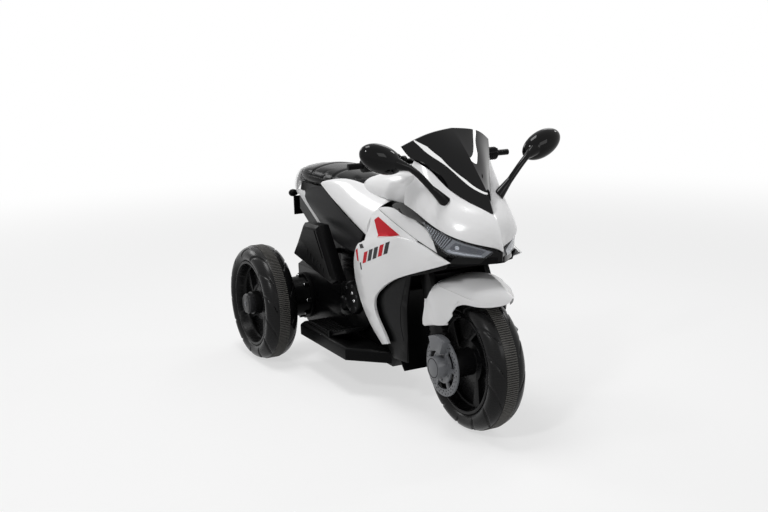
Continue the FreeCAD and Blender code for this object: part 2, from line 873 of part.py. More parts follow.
def make_tub():
    # The open-topped floor pan that carries the battery and the rear axle.
    body = new_body("chassis_tub")
    sketch = new_sketch(body, "XZ_Plane")
    draw_lines(sketch, [
        (tub_rear, f"Sizes.tub_floor + {tub_slope}"),
        (f"{tub_rear} + {tub_slope}", "Sizes.tub_floor"),
        (f"{tub_front} - {tub_slope}", "Sizes.tub_floor"),
        (tub_front, f"Sizes.tub_floor + {tub_slope}"),
        (tub_front, "Sizes.tub_top"),
        (tub_rear, "Sizes.tub_top"),
    ])
    pad(body, sketch, "Sizes.frame_half_width * 2", middle=True)
    inside = new_sketch(body, "XZ_Plane")
    draw_lines(inside, [
        (f"{tub_rear} + Sizes.frame_wall", f"Sizes.tub_floor + {tub_slope} + Sizes.frame_wall"),
        (f"{tub_rear} + {tub_slope} + Sizes.frame_wall", "Sizes.tub_floor + Sizes.frame_wall"),
        (f"{tub_front} - {tub_slope} - Sizes.frame_wall", "Sizes.tub_floor + Sizes.frame_wall"),
        (f"{tub_front} - Sizes.frame_wall", f"Sizes.tub_floor + {tub_slope} + Sizes.frame_wall"),
        (f"{tub_front} - Sizes.frame_wall", "Sizes.tub_top + Sizes.frame_wall"),
        (f"{tub_rear} + Sizes.frame_wall", "Sizes.tub_top + Sizes.frame_wall"),
    ])
    hollow = body.newObject("PartDesign::Pocket", "tub_hollow")
    hollow.Profile = inside
    hollow.Midplane = True
    hollow.setExpression("Length", "(Sizes.frame_half_width - Sizes.frame_wall) * 2")
    hole = new_sketch(body, "XZ_Plane")
    spot = Vector(-size("wheelbase") / 2, size("wheel_radius"), 0)
    reach = size("axle_radius") + size("axle_free_gap")
    ring = hole.addGeometry(Part.Circle(spot, Vector(0, 0, 1), reach))
    pin_point(hole, ring, 3, ("-Sizes.wheelbase / 2", "Sizes.wheel_radius"))
    index = hole.addConstraint(Sketcher.Constraint("Radius", ring, reach))
    hole.setExpression(f"Constraints[{index}]", "Sizes.axle_radius + Sizes.axle_free_gap")
    through_pocket(body, hole)


frame_top_shares = [(-0.5, 0.616), (-0.076, 0.616), (-0.045, 0.651), (0.212, 0.651)]
frame_tail_shares = [(-0.47, 0.222), (-0.455, 0.41), (-0.523, 0.467), (-0.523, 0.527)]
frame_front_share = (0.283, 0.267)
head_fore_shares = (0.48, 0.77)
hollow_end_share = 0.205


def make_frame():
    # The closed centre moulding: seat beam, tank floor and the raked steering head.
    rear = -size("wheelbase") / 2 - size("tub_rear_reach")
    floor = size("tub_top")
    fore = size("head_block_width") * head_fore_shares[0]
    aft = size("head_block_width") * head_fore_shares[1]
    low_front = axle_centre.x - sweep_radius + size("fork_yoke_gap")
    outline = [Vector(rear, 0, floor)]
    outline += [at(along, 0, up) for along, up in frame_tail_shares + frame_top_shares]
    outline += [steer(head_end, fore, 0), steer(head_start, fore, 0), steer(head_start, -aft, 0),
                at(frame_front_share[0], 0, frame_front_share[1]), Vector(low_front, 0, floor)]
    half = size("frame_half_width")
    frame = prism(Part.Face(Part.makePolygon(outline + outline[:1])), -half, half)
    wall = size("frame_wall")
    front = at(hollow_end_share, 0, 0).x
    hollow_rear = at(frame_tail_shares[0][0], 0, 0).x
    roof = [Vector(hollow_rear, 0, at(0, 0, frame_top_shares[0][1]).z)]
    roof += [at(along, 0, up) for along, up in frame_top_shares[1:-1]]
    roof += [Vector(front, 0, roof[-1].z)]
    below = floor - wall * 2
    rough = [Vector(hollow_rear, 0, below)] + roof + [Vector(front, 0, below)]
    inner = Part.makePolygon(rough + rough[:1]).makeOffset2D(-wall)
    frame = frame.cut(prism(Part.Face(inner), wall - half, half - wall))
    well = Part.makeCylinder(sweep_radius + size("liner_wall"), half * 2,
                             axle_centre - Vector(0, half, 0), Vector(0, 1, 0))
    bore = rod(steer(yoke_start, 0, 0), steer(size("bar_height"), 0, 0),
               size("column_radius") + size("running_gap"))
    feature("main_frame", largest(frame.cut([well, bore])))


def make_gearbox(label, sign):
    # A drum case on the tub's side with a ring of lugs round its flange.
    def out(rule):
        return f"{sign} * ({rule})"

    bore = "Sizes.axle_radius + Sizes.axle_free_gap"
    step = "Sizes.gearbox_flange_radius - Sizes.gearbox_radius"
    body = turned_body(label, [
        ("0", bore),
        ("0", "Sizes.gearbox_flange_radius"),
        (out("Sizes.gearbox_flange_width"), "Sizes.gearbox_flange_radius"),
        (out("Sizes.gearbox_flange_width"), "Sizes.gearbox_radius"),
        (out(f"Sizes.gearbox_length - ({step})"), "Sizes.gearbox_radius"),
        (out("Sizes.gearbox_length"), f"Sizes.gearbox_radius - ({step})"),
        (out("Sizes.gearbox_length"), bore),
    ], ("-Sizes.wheelbase / 2", out("Sizes.frame_half_width"), "Sizes.wheel_radius"))
    lug = new_sketch(body, "XZ_Plane")
    reach = size("gearbox_radius") + size("gearbox_lug_radius") / 2
    ring = lug.addGeometry(Part.Circle(Vector(reach, 0, 0), Vector(0, 0, 1), size("gearbox_lug_radius")))
    pin_point(lug, ring, 3, ("Sizes.gearbox_radius + Sizes.gearbox_lug_radius / 2", "0"))
    index = lug.addConstraint(Sketcher.Constraint("Radius", ring, size("gearbox_lug_radius")))
    lug.setExpression(f"Constraints[{index}]", "Sizes.gearbox_lug_radius")
    bump = pad(body, lug, "Sizes.gearbox_flange_width * 2", backwards=sign > 0)
    ring_of(body, bump, "Y_Axis", "Sizes.gearbox_lug_count")


def make_motors():
    # Two cans against the inside of the tub's side walls, one per gearbox.
    cans = []
    along_y = FreeCAD.Rotation(Vector(1, 0, 0), -90)
    inside = "Sizes.frame_half_width - Sizes.frame_wall"
    for name, start in (("right", f"-({inside})"), ("left", f"{inside} - Sizes.motor_length")):
        can = doc.addObject("Part::Cylinder", f"{name}_motor_can")
        can.setExpression("Radius", "Sizes.motor_radius")
        can.setExpression("Height", "Sizes.motor_length")
        place_body(can, ("-Sizes.wheelbase / 2 + Sizes.motor_offset", start, "Sizes.wheel_radius"),
                   along_y)
        cans.append(can)
    pair = doc.addObject("Part::Compound", "drive_motors")
    pair.Links = cans
    keep("drive_motors", pair)


battery_place_share = -0.12


def make_battery():
    block = doc.addObject("Part::Box", "battery_block")
    block.setExpression("Length", "Sizes.battery_length")
    block.setExpression("Width", "Sizes.battery_width")
    block.setExpression("Height", "Sizes.battery_height")
    back = f"Sizes.wheelbase * {battery_place_share}"
    floor = "Sizes.tub_floor + Sizes.frame_wall"
    place_body(block, (back, "-Sizes.battery_width / 2", floor))
    pieces = [block]
    for name, sign in (("right", -1), ("left", 1)):
        post = doc.addObject("Part::Cylinder", f"{name}_terminal")
        post.setExpression("Radius", "Sizes.terminal_radius")
        post.setExpression("Height", "Sizes.terminal_height")
        place_body(post, (f"{back} + Sizes.battery_length / 2", f"{sign} * Sizes.battery_width / 4",
                          f"{floor} + Sizes.battery_height"))
        pieces.append(post)
    whole = doc.addObject("Part::MultiFuse", "battery")
    whole.Shapes = pieces
    keep("battery", whole)


make_tub()
make_frame()
make_gearbox("right_gearbox", -1)
make_gearbox("left_gearbox", 1)
make_motors()
make_battery()


# Side panels: belly, wheel-well liner, side fairing, blade and seat panel

fairing_front_shares = [(0.482, 0.42), (0.367, 0.364), (0.285, 0.316), (0.206, 0.247), (0.171, 0.193),
                        (0.167, 0.153), (0.185, 0.096), (0.221, 0.002)]
fairing_foot_shares = [(0.179, -0.016)]
fairing_rear_shares = [(0.133, 0.042), (0.086, 0.124), (0.058, 0.207), (0.042, 0.289), (0.043, 0.362),
                       (0.061, 0.416), (0.094, 0.444)]
fairing_top_shares = [(0.164, 0.482), (0.247, 0.507), (0.336, 0.52), (0.415, 0.518), (0.505, 0.491),
                      (0.57, 0.467)]
upper_panel_shares = [(0.106, 0.456), (0.142, 0.569), (0.177, 0.613), (0.411, 0.524), (0.4, 0.5),
                      (0.247, 0.489), (0.164, 0.464), (0.11, 0.436)]
fairing_boss_shares = [(0.085, 0.37), (0.09, 0.25), (0.28, 0.465), (0.19, 0.555)]
blade_top_shares = [(0.264, 0.633), (0.345, 0.618), (0.418, 0.593), (0.473, 0.562), (0.505, 0.529)]
blade_low_shares = [(0.509, 0.496), (0.415, 0.527), (0.18, 0.618)]
blade_boss_shares = [(0.23, 0.612), (0.33, 0.583)]
belly_shares = [(0.557, 0.478), (0.455, 0.444), (0.333, 0.393), (0.227, 0.322), (0.136, 0.233),
                (0.133, 0.122), (0.182, -0.033), (0.203, -0.078), (0.288, -0.069), (0.298, -0.033),
                (0.324, 0.067), (0.341, 0.211), (0.37, 0.358), (0.455, 0.393), (0.535, 0.433)]
belly_boss_shares = [(0.17, 0.12), (0.2, 0.26)]


def make_side_fairing():
    # A boomerang panel standing proud of a set-back triangle above its crease.
    thickness = size("panel_wall")
    step = size("panel_step")
    lower = side_outline([fairing_front_shares, fairing_foot_shares, fairing_rear_shares,
                          fairing_top_shares])
    upper = side_outline([[share] for share in upper_panel_shares])
    near = size("frame_half_width")
    far = size("body_half_width") * 2
    panel = side_skin(step, thickness + step / 2).common(prism(lower, near, far))
    back = side_skin(0, thickness).common(prism(upper, near, far))
    bosses = [side_boss(share, -thickness / 2) for share in fairing_boss_shares]
    mirror_pair("side_fairing", largest(panel.fuse([back] + bosses)))


def make_side_blade():
    thickness = size("panel_wall")
    outline = side_outline([blade_top_shares] + [[share] for share in blade_low_shares])
    blade = side_skin(0, thickness).common(prism(outline, size("frame_half_width"),
                                                 size("body_half_width") * 2))
    bosses = [side_boss(share, -thickness / 2) for share in blade_boss_shares]
    mirror_pair("side_blade", largest(blade.fuse(bosses)))


def make_belly():
    # Black lower sides set in behind the white panels, and the curved plate behind the wheel.
    thickness = size("panel_wall")
    inset = size("belly_inset")
    outline = side_outline([[share] for share in belly_shares])
    near = size("frame_half_width")
    far = size("body_half_width") * 2
    skin = side_skin(-inset, thickness).common(prism(outline, near, far))
    bosses = [side_boss(share, -inset - thickness / 2) for share in belly_boss_shares]
    mirror_pair("belly_panel", largest(skin.fuse(bosses)))
    start = size("liner_start_angle")
    end = size("liner_end_angle")
    inner = sweep_radius
    outer = sweep_radius + size("liner_wall")
    middle = (start + end) / 2
    edges = []
    for radius in (inner, outer):
        spots = [wheel_spot(radius, angle) for angle in (start, middle, end)]
        edges.append(Part.Arc(*spots).toShape())
    for angle in (start, end):
        edges.append(Part.LineSegment(wheel_spot(inner, angle), wheel_spot(outer, angle)).toShape())
    sector = Part.Face(Part.Wire(Part.sortEdges(edges)[0]))
    room = side_skin(-inset - thickness, far)
    room = room.common(room.mirror(Vector(0, 0, 0), Vector(0, 1, 0)))
    plate = sector.translated(Vector(0, -far, 0)).extrude(Vector(0, far * 2, 0)).common(room)
    feature("wheel_well_liner", largest(plate))


wing_low_shares = [(-0.285, 0.745, 0.642), (-0.14, 0.85, 0.582), (0.0, 0.92, 0.525), (0.118, 0.96, 0.478)]
wing_middle_shares = [(-0.28, 0.748, 0.648), (-0.13, 0.8, 0.64), (0.01, 0.87, 0.6), (0.142, 0.93, 0.569)]
wing_top_shares = [(-0.272, 0.742, 0.655), (-0.115, 0.6, 0.69), (0.03, 0.5, 0.672), (0.2, 0.5, 0.66)]
wing_end_shares = [(0.2, 0.44), (0.2, 0.8), (-0.3, 0.8), (-0.3, 0.64)]
wing_seam_share = 0.004
seat_panel_top_shares = [(-0.432, 0.72, 0.578), (-0.27, 0.75, 0.635), (-0.045, 0.8, 0.64),
                         (0.139, 0.89, 0.571)]
seat_panel_crease_shares = [(-0.406, 0.79, 0.549), (-0.221, 0.9, 0.533), (-0.05, 0.95, 0.531),
                            (0.101, 0.965, 0.492)]
seat_panel_low_shares = [(-0.288, 0.74, 0.422), (-0.165, 0.82, 0.384), (-0.061, 0.88, 0.373),
                         (0.037, 0.93, 0.38)]
seat_panel_boss_shares = [(-0.33, 0.5), (-0.15, 0.46), (0.03, 0.47)]


def make_seat_panel():
    # The creased grey panel under the seat, formed through slanted rows.
    columns = []
    for trio in zip(seat_panel_top_shares, seat_panel_crease_shares, seat_panel_low_shares):
        top, crease, low = [at(*share) for share in trio]
        columns.append([top, (top + crease) / 2, crease, (crease + low) / 2, low])
    face = patch(columns)
    far = size("body_half_width") * 2
    panel = face.extrude(Vector(0, size("panel_wall"), 0))
    room = face.extrude(Vector(0, far, 0))
    bosses = []
    for along, up in seat_panel_boss_shares:
        spot = at(along, 0, up)
        start = Vector(spot.x, -size("frame_half_width"), spot.z)
        bosses.append(rod(start, start - Vector(0, far, 0), size("boss_radius")).common(room))
    border = [(along, up - wing_seam_share) for along, across, up in wing_low_shares]
    above = prism(side_outline([[share] for share in border + wing_end_shares]), 0, far)
    mirror_pair("seat_panel", largest(panel.cut(above).fuse(bosses)))


make_side_fairing()
make_side_blade()
make_belly()
make_seat_panel()


# Nose: cowl, windscreen, lamp bezel, lenses, dash frame, chin and mirrors

cowl_upper_shares = [(0.394, 0.84, 0.858), (0.432, 0.64, 0.831), (0.48, 0.46, 0.762),
                     (0.539, 0.23, 0.704), (0.612, 0.0, 0.653), (0.6576, 0.0, 0.527)]
cowl_lower_shares = [(0.361, 0.95, 0.673), (0.432, 0.93, 0.647), (0.485, 0.89, 0.618),
                     (0.558, 0.74, 0.578), (0.618, 0.34, 0.542), (0.6576, 0.0, 0.513)]
cowl_bulge_shares = (0.5, 0.9, 1.0, 1.0, 0.9, 0.1)
cowl_notch_shares = [(0.33, 0.78), (0.372, 0.74), (0.408, 0.782), (0.378, 0.86), (0.33, 0.87)]
screen_middle_shares = [(0.609, 0.0, 0.66), (0.591, 0.0, 0.716), (0.533, 0.0, 0.811),
                        (0.486, 0.0, 0.878), (0.432, 0.0, 0.944), (0.397, 0.0, 0.984)]
screen_half_shares = [(0.603, 0.04, 0.658), (0.568, 0.13, 0.712), (0.512, 0.26, 0.796),
                      (0.467, 0.37, 0.864), (0.423, 0.46, 0.929), (0.397, 0.52, 0.967)]
screen_edge_shares = [(0.597, 0.07, 0.654), (0.54, 0.26, 0.702), (0.481, 0.49, 0.759),
                      (0.433, 0.67, 0.827), (0.388, 0.87, 0.87), (0.361, 0.97, 0.916)]
bezel_upper_shares = [(0.255, 0.84, 0.642), (0.361, 0.9, 0.668), (0.485, 0.84, 0.611),
                      (0.53, 0.76, 0.589), (0.564, 0.66, 0.569), (0.618, 0.29, 0.536),
                      (0.6545, 0.0, 0.507)]
bezel_lower_shares = [(0.264, 0.85, 0.638), (0.364, 0.88, 0.616), (0.488, 0.855, 0.562),
                      (0.532, 0.76, 0.464), (0.564, 0.6, 0.456), (0.618, 0.24, 0.464),
                      (0.6545, 0.0, 0.476)]
lens_top_shares = [(0.455, 0.616), (0.523, 0.587), (0.583, 0.555), (0.642, 0.512)]
lens_low_shares = [(0.624, 0.483), (0.541, 0.494), (0.505, 0.54), (0.453, 0.612)]
shelf_plan_shares = [(0.36, 0.76), (0.5, 0.76), (0.53, 0.745), (0.564, 0.615), (0.618, 0.25), (0.636, 0.08)]
shelf_up_share = 0.558
web_end_share = 0.66
web_top_share = 0.8
web_half_share = 0.025
pod_along_shares = (0.4, 0.48)
pod_half_share = 0.4
pod_top_share = 0.72
chin_plan_shares = [(0.44, 0.62), (0.53, 0.7), (0.6, 0.36), (0.645, 0.08)]
chin_up_shares = (0.39, 0.49)
chin_under_shares = [(0.4, 0.3), (0.7, 0.3), (0.7, 0.478), (0.4, 0.408)]
mirror_centre_share = (0.461, 1.76, 0.893)
mirror_arm_shares = [(0.5, 0.58, 0.7), (0.497, 0.92, 0.775), (0.491, 1.275, 0.851), (0.472, 1.6, 0.88)]
mirror_neck_shares = [(0.466, 1.68, 0.889), (0.49, 1.29, 0.853)]
mirror_foot_shares = [(0.5, 0.58, 0.7), (0.498, 0.86, 0.762)]
mirror_cut_share = 0.1


def both_sides(shape):
    # Trim a right-hand shell at the middle plane and join it to its mirror image.
    reach = size("wheelbase") * 2
    room = Part.makeBox(reach, reach / 2, reach, Vector(-reach / 2, -reach / 2, -reach / 2))
    half = shape.common(room)
    return half.fuse(half.mirror(Vector(0, 0, 0), Vector(0, 1, 0)))


def cowl_face():
    rows = []
    for upper, lower, bulge in zip(cowl_upper_shares, cowl_lower_shares, cowl_bulge_shares):
        top = at(*upper)
        low = at(*lower)
        out = size("nose_bulge") * bulge
        middle = (top + low) / 2 + Vector(0, -out, out / 2)
        rows.append([top, middle, low])
    return patch(rows)


def make_cowl():
    skin = cowl_face().extrude(Vector(0, size("nose_wall"), 0))
    notch = side_outline([[share] for share in cowl_notch_shares])
    far = size("body_half_width") * 2
    cowl = both_sides(skin.cut(prism(notch, 0, far)))
    return largest(cowl)


def make_screen(cowl):
    # A creased, swept-back sheet whose edges lie on the cowl.
    rows = [[at(*middle), at(*half), at(*edge)] for middle, half, edge
            in zip(screen_middle_shares, screen_half_shares, screen_edge_shares)]
    sheet_half = patch(rows).extrude(Vector(-size("screen_wall"), 0, 0))
    return largest(both_sides(sheet_half).cut(cowl))


def bezel_face(outward):
    # A band ruled between the cowl's lower line and the lamp's lower line.
    move = Vector(0, -outward, 0)
    lines = [curve_through([at(*share) + move for share in shares])
             for shares in (bezel_upper_shares, bezel_lower_shares)]
    return Part.makeRuledSurface(*lines)


def make_bezel():
    skin = bezel_face(0).extrude(Vector(0, size("nose_wall"), 0))
    return largest(both_sides(skin))


def make_lens():
    gap = size("lens_gap")
    skin = bezel_face(gap + size("lens_wall")).extrude(Vector(0, size("lens_wall"), 0))
    outline = side_outline([lens_top_shares] + [lens_low_shares[:1]] + [lens_low_shares[1:]])
    return largest(skin.common(prism(outline, gap, size("body_half_width") * 2)))


def box_between(low, high):
    return Part.makeBox(high.x - low.x, high.y - low.y, high.z - low.z, low)


def plan_block(shares, low, high):
    # A plan outline given for the right side, mirrored and raised between two heights.
    right = [at(along, across, 0) for along, across in shares]
    points = right + [Vector(spot.x, -spot.y, spot.z) for spot in reversed(right)]
    points = [Vector(spot.x, spot.y, low) for spot in points]
    return Part.Face(Part.makePolygon(points + points[:1])).extrude(Vector(0, 0, high - low))


def make_dash_frame(walls):
    # Shelf, centre web and instrument pod that carry the nose from the steering head.
    base = at(0, 0, shelf_up_share).z
    top = base + size("bracket_height")
    shelf = plan_block(shelf_plan_shares, base, top)
    half = size("body_half_width") * web_half_share
    web_start = at(pod_along_shares[1], 0, 0).x - size("nose_wall")
    web = box_between(Vector(web_start, -half, base),
                      Vector(at(web_end_share, 0, 0).x, half, at(0, 0, web_top_share).z))
    pod_low, pod_high = [at(share, 0, 0).x for share in pod_along_shares]
    pod_half = size("body_half_width") * pod_half_share
    pod = box_between(Vector(pod_low, -pod_half, base),
                      Vector(pod_high, pod_half, at(0, 0, pod_top_share).z))
    pod_edges = [edge for edge in pod.Edges if edge.BoundBox.ZMin > top]
    pod = pod.makeFillet(size("bracket_height"), pod_edges)
    return largest(shelf.fuse([web, pod]).cut(walls))


def make_chin(walls):
    # The dark plate under the lamps, cleared for the turning yoke.
    low, high = [at(0, 0, share).z for share in chin_up_shares]
    far = size("body_half_width")
    under = prism(side_outline([[share] for share in chin_under_shares]), -far, far)
    ball = Part.makeSphere(sweep_radius, axle_centre)
    reach = math.hypot(leg_outer, size("fork_yoke_width") / 2) + size("steering_clearance")
    swing = rod(steer(fender_radius, 0, 0), steer(head_start, 0, 0), reach)
    return largest(plan_block(chin_plan_shares, low, high).cut(walls + [under, ball, swing]))


def mirror_head():
    # A cap of an egg, flat at the back where the glass sits, with a tapered neck.
    centre = at(*mirror_centre_share)
    depth = size("mirror_depth")
    low_angle = -math.degrees(math.asin(mirror_cut_share * 2))
    cap = Part.makeSphere(depth / 2, Vector(0, 0, 0), Vector(1, 0, 0), low_angle, 90, 360)
    stretch = FreeCAD.Matrix()
    stretch.scale(Vector(1, size("mirror_length") / depth, size("mirror_height") / depth))
    egg = cap.transformGeometry(stretch)
    egg.rotate(Vector(0, 0, 0), Vector(1, 0, 0), -size("mirror_tilt"))
    egg.translate(centre)
    neck = taper(mirror_neck_shares, size("mirror_neck_radius"), size("mirror_arm_radius"))
    back = centre.x - depth * mirror_cut_share
    reach = size("mirror_length")
    behind = box_between(Vector(back - reach, centre.y - reach, centre.z - reach),
                         Vector(back, centre.y + reach, centre.z + reach))
    return egg.fuse(neck.cut(behind))


def taper(shares, start_radius, end_radius):
    start, end = [at(*share) for share in shares]
    return Part.makeCone(start_radius, end_radius, (end - start).Length, start, end - start)


def make_mirror(cowl):
    route = Part.BSplineCurve()
    route.interpolate([at(*share) for share in mirror_arm_shares])
    path = Part.Wire(route.toShape())
    ring = Part.Circle(at(*mirror_arm_shares[0]), route.tangent(route.FirstParameter)[0],
                       size("mirror_arm_radius")).toShape()
    arm = path.makePipeShell([Part.Wire(ring)], True, True)
    foot = taper(mirror_foot_shares, size("mirror_foot_radius"), size("mirror_arm_radius"))
    mirror_pair("mirror", largest(mirror_head().fuse(arm.fuse(foot).cut(cowl))))


def make_nose():
    names = ("side_fairing", "side_blade", "belly_panel")
    panels = [nodes["right_" + name].Shape for name in names]
    panels += [panel.mirror(Vector(0, 0, 0), Vector(0, 1, 0)) for panel in panels]
    cowl = make_cowl()
    screen = make_screen(cowl)
    bezel = largest(make_bezel().cut(panels))
    feature("nose_cowl", cowl)
    feature("windscreen", screen)
    feature("lamp_bezel", bezel)
    mirror_pair("headlamp_lens", make_lens())
    walls = [cowl, screen, bezel, nodes["main_frame"].Shape] + panels
    feature("dash_frame", make_dash_frame(walls))
    feature("chin_guard", make_chin(walls))
    make_mirror(cowl)


make_nose()


# Tank, seat and tail, lofted through rounded sections

tank_along_shares = (-0.062, 0.03, 0.15, 0.25, 0.3)
tank_half_shares = (0.42, 0.6, 0.66, 0.64, 0.56)
tank_top_shares = (0.678, 0.738, 0.772, tank_crown_share, 0.76)
tank_floor_share = 0.651
seat_along_shares = (-0.515, -0.47, -0.36, -0.22, -0.12, -0.083)
seat_half_shares = (0.56, 0.7, 0.74, 0.64, 0.54, 0.48)
seat_top_shares = (0.683, 0.713, 0.72, 0.707, 0.687, 0.672)
seat_floor_share = 0.616
tail_along_shares = (-0.648, -0.614, -0.568, -0.5185)
tail_half_shares = (0.2, 0.38, 0.56, 0.66)
tail_top_shares = (0.614, 0.645, 0.678, 0.7)
tail_low_shares = (0.584, 0.562, 0.55, 0.545)
tail_blade_shares = [(-0.538, 0.571), (-0.452, 0.571), (-0.308, 0.433), (-0.314, 0.411), (-0.336, 0.411)]
tail_blade_across_shares = (0.61, 0.65)
tail_post_share = -0.521
tail_open_share = 0.024
section_shares = {"foot": 0.82, "side_up": 0.35, "shoulder": 0.86, "shoulder_up": 0.84}
dome_shares = {"foot": 0.97, "side_up": 0.5, "shoulder": 0.8, "shoulder_up": 0.86}


def arch_section(along, half_share, low_share, top_share, shares, inset):
    # A flat-bottomed section with drawn-in sides and a crowned top.
    low = at(along, 0, low_share)
    top = at(along, 0, top_share).z - inset
    half = size("body_half_width") * half_share - inset
    height = top - low.z

    def spot(across, up):
        return Vector(low.x, half * across, low.z + height * up)

    right_foot = spot(-shares["foot"], 0)
    left_foot = spot(shares["foot"], 0)
    right_shoulder = spot(-shares["shoulder"], shares["shoulder_up"])
    left_shoulder = spot(shares["shoulder"], shares["shoulder_up"])
    edges = [
        Part.LineSegment(right_foot, left_foot),
        Part.Arc(left_foot, spot(1, shares["side_up"]), left_shoulder),
        Part.Arc(left_shoulder, spot(0, 1), right_shoulder),
        Part.Arc(right_shoulder, spot(-1, shares["side_up"]), right_foot),
    ]
    return Part.Wire([edge.toShape() for edge in edges])


def arch_loft(alongs, halves, lows, tops, shares, inset):
    wires = [arch_section(*values, shares, inset) for values in zip(alongs, halves, lows, tops)]
    return Part.makeLoft(wires, True)


console_place_share = (0.135, 0.772)


def console_frame(along, across, up):
    # A place on the control console: along and across its middle, above the tank line.
    tilt = FreeCAD.Rotation(Vector(0, 1, 0), -size("console_tilt"))
    middle = at(console_place_share[0], 0, console_place_share[1])
    return FreeCAD.Placement(middle + tilt.multVec(Vector(along, across, up)), tilt)


def tank_wing():
    # The white band beside the tank and the seat's front, butted against the side fairing.
    rows = [[at(*share) for share in trio]
            for trio in zip(wing_low_shares, wing_middle_shares, wing_top_shares)]
    sheet = patch(rows).extrude(Vector(0, size("panel_wall"), 0))
    far = size("body_half_width") * 2
    lower = side_outline([fairing_front_shares, fairing_foot_shares, fairing_rear_shares,
                          fairing_top_shares])
    upper = side_outline([[share] for share in upper_panel_shares])
    return sheet.cut([prism(lower, 0, far), prism(upper, 0, far)])


def make_tank():
    floors = [tank_floor_share] * len(tank_along_shares)
    tank = arch_loft(tank_along_shares, tank_half_shares, floors, tank_top_shares, dome_shares, 0)
    wing = tank_wing()
    tank = tank.fuse([wing, wing.mirror(Vector(0, 0, 0), Vector(0, 1, 0))])
    clear = size("steering_clearance")
    room = rod(steer(yoke_start, 0, 0), steer(size("bar_height"), 0, 0), size("column_radius") + clear)
    clamp_low = size("bar_height") - size("clamp_height") / 2 - clear
    swing = rod(steer(clamp_low, 0, 0), steer(size("bar_height") + size("clamp_height"), 0, 0),
                math.hypot(size("clamp_width"), size("clamp_depth")) / 2 + clear)
    length = size("console_length")
    width = size("console_width")
    recess = Part.makeBox(length, width, size("console_thickness") * 2,
                          Vector(-length / 2, -width / 2, -size("console_thickness")))
    recess.Placement = console_frame(0, 0, 0)
    feature("tank_cover", largest(tank.cut([room, swing, recess, nodes["main_frame"].Shape])))


def make_seat():
    floors = [seat_floor_share] * len(seat_along_shares)
    seat = arch_loft(seat_along_shares, seat_half_shares, floors, seat_top_shares, section_shares, 0)
    feature("seat", largest(seat.cut(nodes["main_frame"].Shape)))


def make_tail():
    # A hollow hump behind the seat with a blade running down each side.
    wall = size("tail_wall")
    outer = arch_loft(tail_along_shares, tail_half_shares, tail_low_shares, tail_top_shares,
                      dome_shares, 0)
    lows = [share - tail_open_share for share in tail_low_shares]
    inner = arch_loft(tail_along_shares, tail_half_shares, lows, tail_top_shares, dome_shares, wall)
    inner.translate(Vector(wall, 0, 0))
    inset = [across * size("body_half_width") for across in tail_blade_across_shares]
    blade = prism(side_outline([[share] for share in tail_blade_shares]), *inset)
    post_base, post_low, post_top = [at(tail_post_share, 0, share) for share in (
        frame_tail_shares[-1][1], tail_low_shares[-1], tail_top_shares[-1])]
    post = rod(post_low, post_top, size("boss_radius")).common(outer)
    post = post.fuse(rod(post_base, post_low, size("boss_radius"))).cut(nodes["main_frame"].Shape)
    pieces = [blade, blade.mirror(Vector(0, 0, 0), Vector(0, 1, 0)), post]
    feature("tail_cowl", largest(outer.cut(inner).fuse(pieces)))


make_tank()
make_seat()
make_tail()


# Rear fittings: lamp, plate holder, indicators and charging socket

plate_place_share = (-0.652, 0.453)
plate_arm_shares = (0.476, 0.512)
arm_half_share = 0.14
indicator_place_share = (-0.6136, 0.531)
indicator_reach_shares = (0.4, 0.62)
lamp_shares = {"half": 0.19, "low": 0.578, "high": 0.616}


def make_rear_fittings():
    tail_end = at(tail_along_shares[0], 0, 0).x
    half = size("body_half_width") * lamp_shares["half"]
    lamp = box_between(Vector(tail_end - size("lamp_thickness"), -half, at(0, 0, lamp_shares["low"]).z),
                       Vector(tail_end, half, at(0, 0, lamp_shares["high"]).z))
    rear_edges = [edge for edge in lamp.Edges if edge.BoundBox.XMax < tail_end]
    feature("tail_lamp", lamp.makeFillet(size("lamp_thickness") / 2, rear_edges))
    centre = at(plate_place_share[0], 0, plate_place_share[1])
    width = size("plate_width") / 2
    height = size("plate_height") / 2
    plate = box_between(Vector(centre.x, -width, centre.z - height),
                        Vector(centre.x + size("plate_thickness"), width, centre.z + height))
    arm_low, arm_high = [at(0, 0, share).z for share in plate_arm_shares]
    arm_half = size("body_half_width") * arm_half_share
    rear = at(frame_tail_shares[2][0], 0, 0).x
    arm = box_between(Vector(centre.x, -arm_half, arm_low), Vector(rear, arm_half, arm_high))
    bar_middle = at(indicator_place_share[0], 0, indicator_place_share[1])
    stalk = size("indicator_stalk")
    saddle = box_between(Vector(bar_middle.x - stalk, -arm_half, arm_low),
                         Vector(bar_middle.x + stalk, arm_half, bar_middle.z))
    start, end = [size("body_half_width") * share for share in indicator_reach_shares]
    bar = rod(bar_middle - Vector(0, end, 0), bar_middle + Vector(0, end, 0), stalk)
    pods = []
    for sign in (-1, 1):
        pod = rod(bar_middle + Vector(0, sign * start, 0), bar_middle + Vector(0, sign * end, 0),
                  size("indicator_radius"))
        pods.append(pod.makeFillet(stalk, [edge for edge in pod.Edges if edge.Closed]))
    feature("rear_indicators", largest(bar.fuse(pods)))
    feature("plate_holder", largest(plate.fuse([arm, saddle]).cut(bar)))


